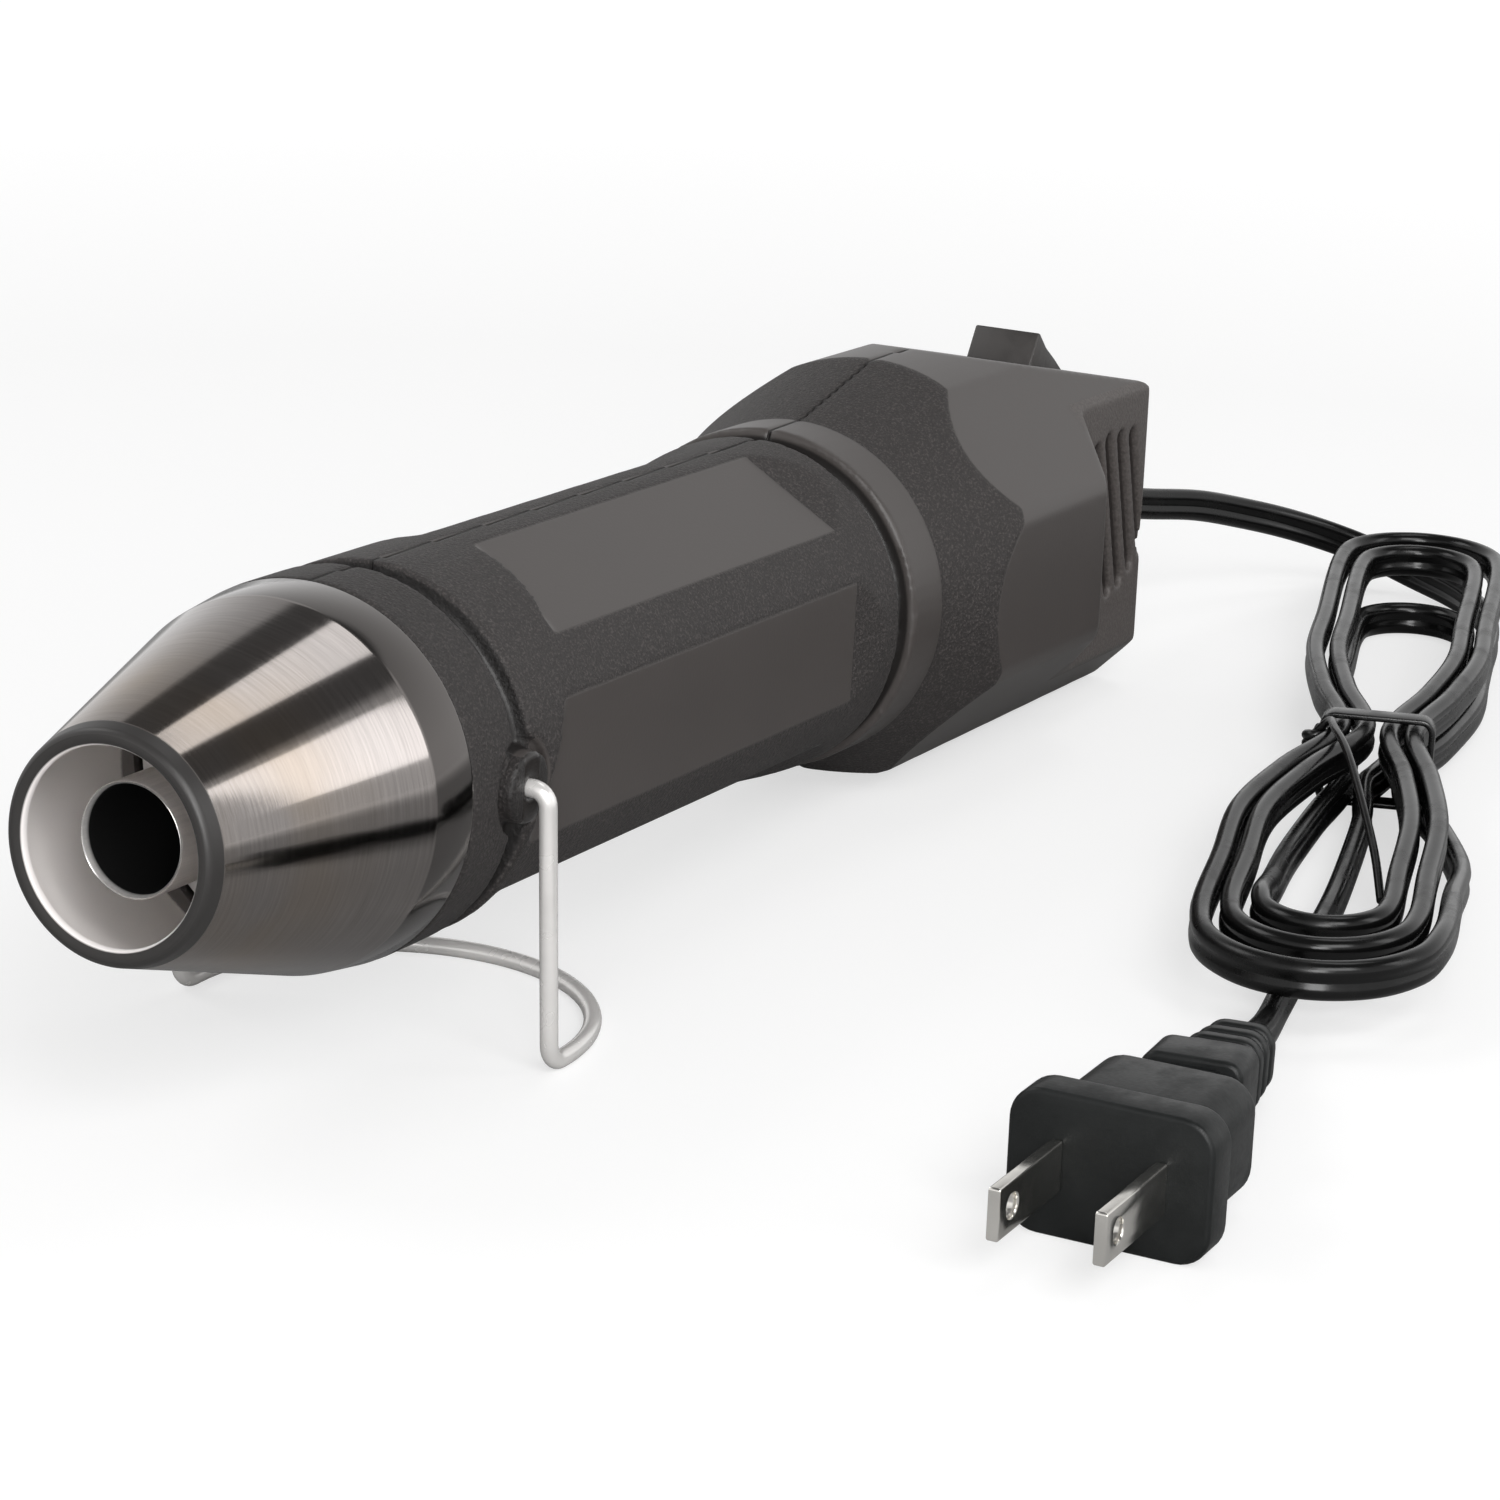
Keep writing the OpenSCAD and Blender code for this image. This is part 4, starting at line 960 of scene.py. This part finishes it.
class HEATTOOL_OT_flex_guard(bpy.types.Operator):
    """Turns the tapered and ribbed strain relief behind the housing"""

    bl_idname = "heattool.flex_guard"
    bl_label = "Strain relief"

    def execute(self, context):
        profile = list(RELIEF_FOOT)
        for k in range(1, RELIEF_SPACES):
            at = k * sizes().relief_len / MM / RELIEF_SPACES
            body = RELIEF_FRONT_R - RELIEF_TAPER * at
            profile += [(at - 0.15, body)] + [(at + s, r) for s, r in RELIEF_RIB] + [(at + 1.35, body)]
        profile += RELIEF_END
        profile = [(s * MM, r * MM) for s, r in profile]
        piece = smooth(spun("flex_guard", profile, 64, Matrix.Translation(relief_foot())), 35)
        dress(piece, satin_rubber("guard_vinyl", colours().plug, 0.42, grain=1500, depth=0.03),
              "housing", "cord_black", "strain_relief")
        return {"FINISHED"}


MOST_TRIANGLES = 190000


class HEATTOOL_OT_housing(bpy.types.Operator):
    """Softens the moulded edges of the two half shells"""

    bl_idname = "heattool.housing"
    bl_label = "Housing"

    def execute(self, context):
        material = moulded_shell()
        voxel, rounds = ((0.5 * MM, 5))
        for name, node in (("left_half", "left_shell"), ("right_half", "right_shell")):
            piece = mesh_copy(node, name)
            modify(piece, "REMESH", mode="VOXEL", voxel_size=voxel, use_smooth_shade=True)
            modify(piece, "SMOOTH", factor=0.5, iterations=rounds)
            triangles = 2 * len(piece.data.polygons)
            if triangles > MOST_TRIANGLES:
                modify(piece, "DECIMATE", ratio=MOST_TRIANGLES / triangles)
            smooth(piece)
            dress(piece, material, "housing", "housing", node)
        return {"FINISHED"}


class HEATTOOL_OT_guard(bpy.types.Operator):
    """Spins the steel guard with its rolled rim, and the outlet tube inside it"""

    bl_idname = "heattool.guard"
    bl_label = "Nozzle guard"

    def guard_profile(self):
        """Round the guard's sheet: over the outside, back through the inside, round the rim."""
        z = sizes()
        wall, cone, collar = z.guard_wall, z.guard_cone, z.collar_at
        spigot_end, spigot_in = collar + z.spigot_len, z.spigot_r - wall
        lean = math.degrees(math.atan((z.guard_back_r - z.mouth_r) / (cone - z.rim_roll)))
        outer = [(cone + s * MM, z.guard_back_r + r * MM) for s, r in CONE_EDGE]
        outer += [(collar + s * MM, z.skirt_r + r * MM) for s, r in SKIRT_EDGE]
        inner = [(collar, z.spigot_r), (spigot_end, z.spigot_r), (spigot_end, spigot_in),
                 (collar - wall, spigot_in), (collar - wall, z.skirt_r - wall), (cone, z.guard_back_r - wall),
                 (cone * 0.5, (z.guard_back_r + z.mouth_r) / 2 - wall - 0.15 * MM),
                 (z.rim_roll * 1.8, z.mouth_r - 0.9 * wall)]
        rim = arc(z.rim_roll, z.mouth_r - z.rim_roll, z.rim_roll, 90 + lean, 285, 14)
        return outer + inner + rim[::-1]

    def tube_profile(self):
        """Round the tube's wall, with its front edge rounded."""
        z = sizes()
        front, rear, bore = z.tube_set, z.tube_set + z.tube_len, z.tube_r - z.tube_wall
        return [(front, z.tube_r - z.tube_wall * 0.5), (front + 0.12 * MM, z.tube_r - 0.08 * MM),
                (front + 0.35 * MM, z.tube_r), (rear, z.tube_r), (rear, bore), (front + 0.3 * MM, bore)]

    def execute(self, context):
        guard = smooth(spun("steel_guard", self.guard_profile(), 160, tool_matrix()), 38)
        dress(guard, brushed_guard(), "housing", "guard_steel", "nozzle_shield")
        outlet = smooth(spun("drawn_outlet", self.tube_profile(), 96, tool_matrix()), 40)
        steel = drawn_steel("drawn_outlet", 0.12, 0.9, painted_bore_shade=True)
        dress(outlet, steel, "housing", "tube_steel", "outlet_tube")
        return {"FINISHED"}


class HEATTOOL_OT_stand(bpy.types.Operator):
    """Bends the stand from one wire"""

    bl_idname = "heattool.stand"
    bl_label = "Stand"

    def execute(self, context):
        z = sizes()
        lean = z.leg_lean - z.pitch
        drop, knee = z.leg_len * math.cos(lean), z.leg_len * math.sin(lean)
        turn = math.pi / 2 - lean
        tangent = z.foot_bend * math.tan(turn / 2)
        down = Vector((math.sin(lean), 0, -math.cos(lean)))
        leg, bend = Vector((0, -z.leg_half, 0)), z.hinge_bend
        side = [Vector((0, -z.hinge_end, 0)), leg + Vector((0, bend, 0))]
        for x, y in arc(0, 0, bend, 0, 90, 8)[1:]:
            side.append(leg + Vector((0, bend - y, 0)) + down * (bend - x))
        side.append(leg + down * (z.leg_len - tangent))
        centre = leg + Vector((knee + tangent, 0, z.foot_bend - drop))
        start = 180 + math.degrees(lean)
        side += [centre + Vector((x, 0, y)) for x, y in arc(0, 0, z.foot_bend, start, 270, 10)[1:]]
        middle = Vector((knee + tangent + z.foot_run, 0, -drop))
        bow = [middle + Vector((x, y, 0)) for x, y in arc(0, 0, z.leg_half, -90, 90, 48)]
        other = [Vector((p.x, -p.y, p.z)) for p in reversed(side)]
        hinge = placed(z.hinge_at, 0, 0)
        piece = wire("wire_stand", [hinge + p for p in side + bow + other], z.wire_r, sides=8)
        # Painted reflection: the wire is only partly metallic, so its bright diffuse share stands in for the
        # reflection of the white surroundings.
        steel = drawn_steel("drawn_wire", 0.2, 0.4, lines_per_mm=0.1)
        dress(piece, steel, "stand", "stand_steel", "stand_wire")
        return {"FINISHED"}


class HEATTOOL_OT_switch(bpy.types.Operator):
    """Rounds the rocker and the switch frame"""

    bl_idname = "heattool.switch"
    bl_label = "Switch"

    def execute(self, context):
        black = satin_rubber("switch_nylon", colours().switch, 0.4, grain=1500, depth=0.02, scuff=0.15)
        rocker = soften(mesh_copy("switch_rocker", "rocker_button"), 0.35, angle=28)
        dress(smooth(rocker, 35), black, "rocker", "switch_black", "switch_rocker")
        body = soften(mesh_copy("switch_body", "switch_frame"), 0.2, angle=40, segments=2)
        dress(smooth(body, 35), black, "housing", "switch_black", "switch_body")
        return {"FINISHED"}


class HEATTOOL_OT_inner_finishes(bpy.types.Operator):
    """Gives the working pieces inside the housing their own finishes"""

    bl_idname = "heattool.inner_finishes"
    bl_label = "Inner finishes"

    def execute(self, context):
        mica = plated("pressed_mica", (0.80, 0.76, 0.64), 0.55, grain=500, metallic=0.0, second=1.1)
        zinc = plated("zinc_plate", (0.55, 0.55, 0.57), 0.3)
        finishes = {
            "housing_screws": zinc,
            "tube_washer": mica,
            "mica_former": mica,
            "mica_sleeve": mica,
            "air_funnel": plated("pressed_tin", (0.66, 0.67, 0.68), 0.35, grain=600),
            "heating_coil": plated("resistance_wire", (0.5, 0.46, 0.43), 0.4, grain=2500),
            "thermal_cutout": plated("glazed_ceramic", (0.8, 0.79, 0.76), 0.25, grain=800, metallic=0.0),
            "motor_can": plated("motor_plate", (0.62, 0.62, 0.64), 0.28, grain=400),
            "motor_mount": satin_rubber("mount_nylon", (0.02, 0.02, 0.022), 0.5),
            "motor_bearing": plated("sintered_bronze", (0.6, 0.45, 0.25), 0.45, grain=3000),
            "motor_shaft": plated("ground_shaft", (0.6, 0.6, 0.62), 0.15, grain=2000),
            "fan_wheel": satin_rubber("fan_nylon", (0.02, 0.02, 0.022), 0.4),
            "rectifier_board": plated("coated_board", (0.06, 0.2, 0.1), 0.35, grain=900, metallic=0.0),
            "inner_wires": satin_rubber("wire_cover", (0.4, 0.05, 0.04), 0.4),
            "rocker_pin": zinc,
        }
        for name, material in finishes.items():
            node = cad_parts[name]
            node.data.materials.clear()
            node.data.materials.append(material)
        return {"FINISHED"}


class HEATTOOL_PT_panel(bpy.types.Panel):
    """Lists the steps that dress the tool"""

    bl_label = "Heat Tool"
    bl_idname = "HEATTOOL_PT_panel"
    bl_space_type = "VIEW_3D"
    bl_region_type = "UI"
    bl_category = "Heat Tool"

    def draw(self, context):
        for step in STEPS:
            self.layout.operator(step.bl_idname)
        for group in (context.scene.heat_tool_sizes, context.scene.heat_tool_colours):
            for name in group.bl_rna.properties.keys():
                if name not in ("rna_type", "name"):
                    self.layout.prop(group, name)


STEPS = (
    HEATTOOL_OT_camera,
    HEATTOOL_OT_stage,
    HEATTOOL_OT_flex_guard,
    HEATTOOL_OT_tie,
    HEATTOOL_OT_plug,
    HEATTOOL_OT_lead,
    HEATTOOL_OT_housing,
    HEATTOOL_OT_guard,
    HEATTOOL_OT_stand,
    HEATTOOL_OT_switch,
    HEATTOOL_OT_inner_finishes,
)
CLASSES = (HeatToolSizes, HeatToolColours) + STEPS + (HEATTOOL_PT_panel,)


def register():
    for kind in CLASSES:
        bpy.utils.register_class(kind)
    bpy.types.Scene.heat_tool_sizes = bpy.props.PointerProperty(type=HeatToolSizes)
    bpy.types.Scene.heat_tool_colours = bpy.props.PointerProperty(type=HeatToolColours)


def unregister():
    del bpy.types.Scene.heat_tool_colours
    del bpy.types.Scene.heat_tool_sizes
    for kind in reversed(CLASSES):
        bpy.utils.unregister_class(kind)


def main():
    register()
    for step in STEPS:
        group, name = step.bl_idname.split(".")
        getattr(getattr(bpy.ops, group), name)()


if __name__ == "__main__":
    main()
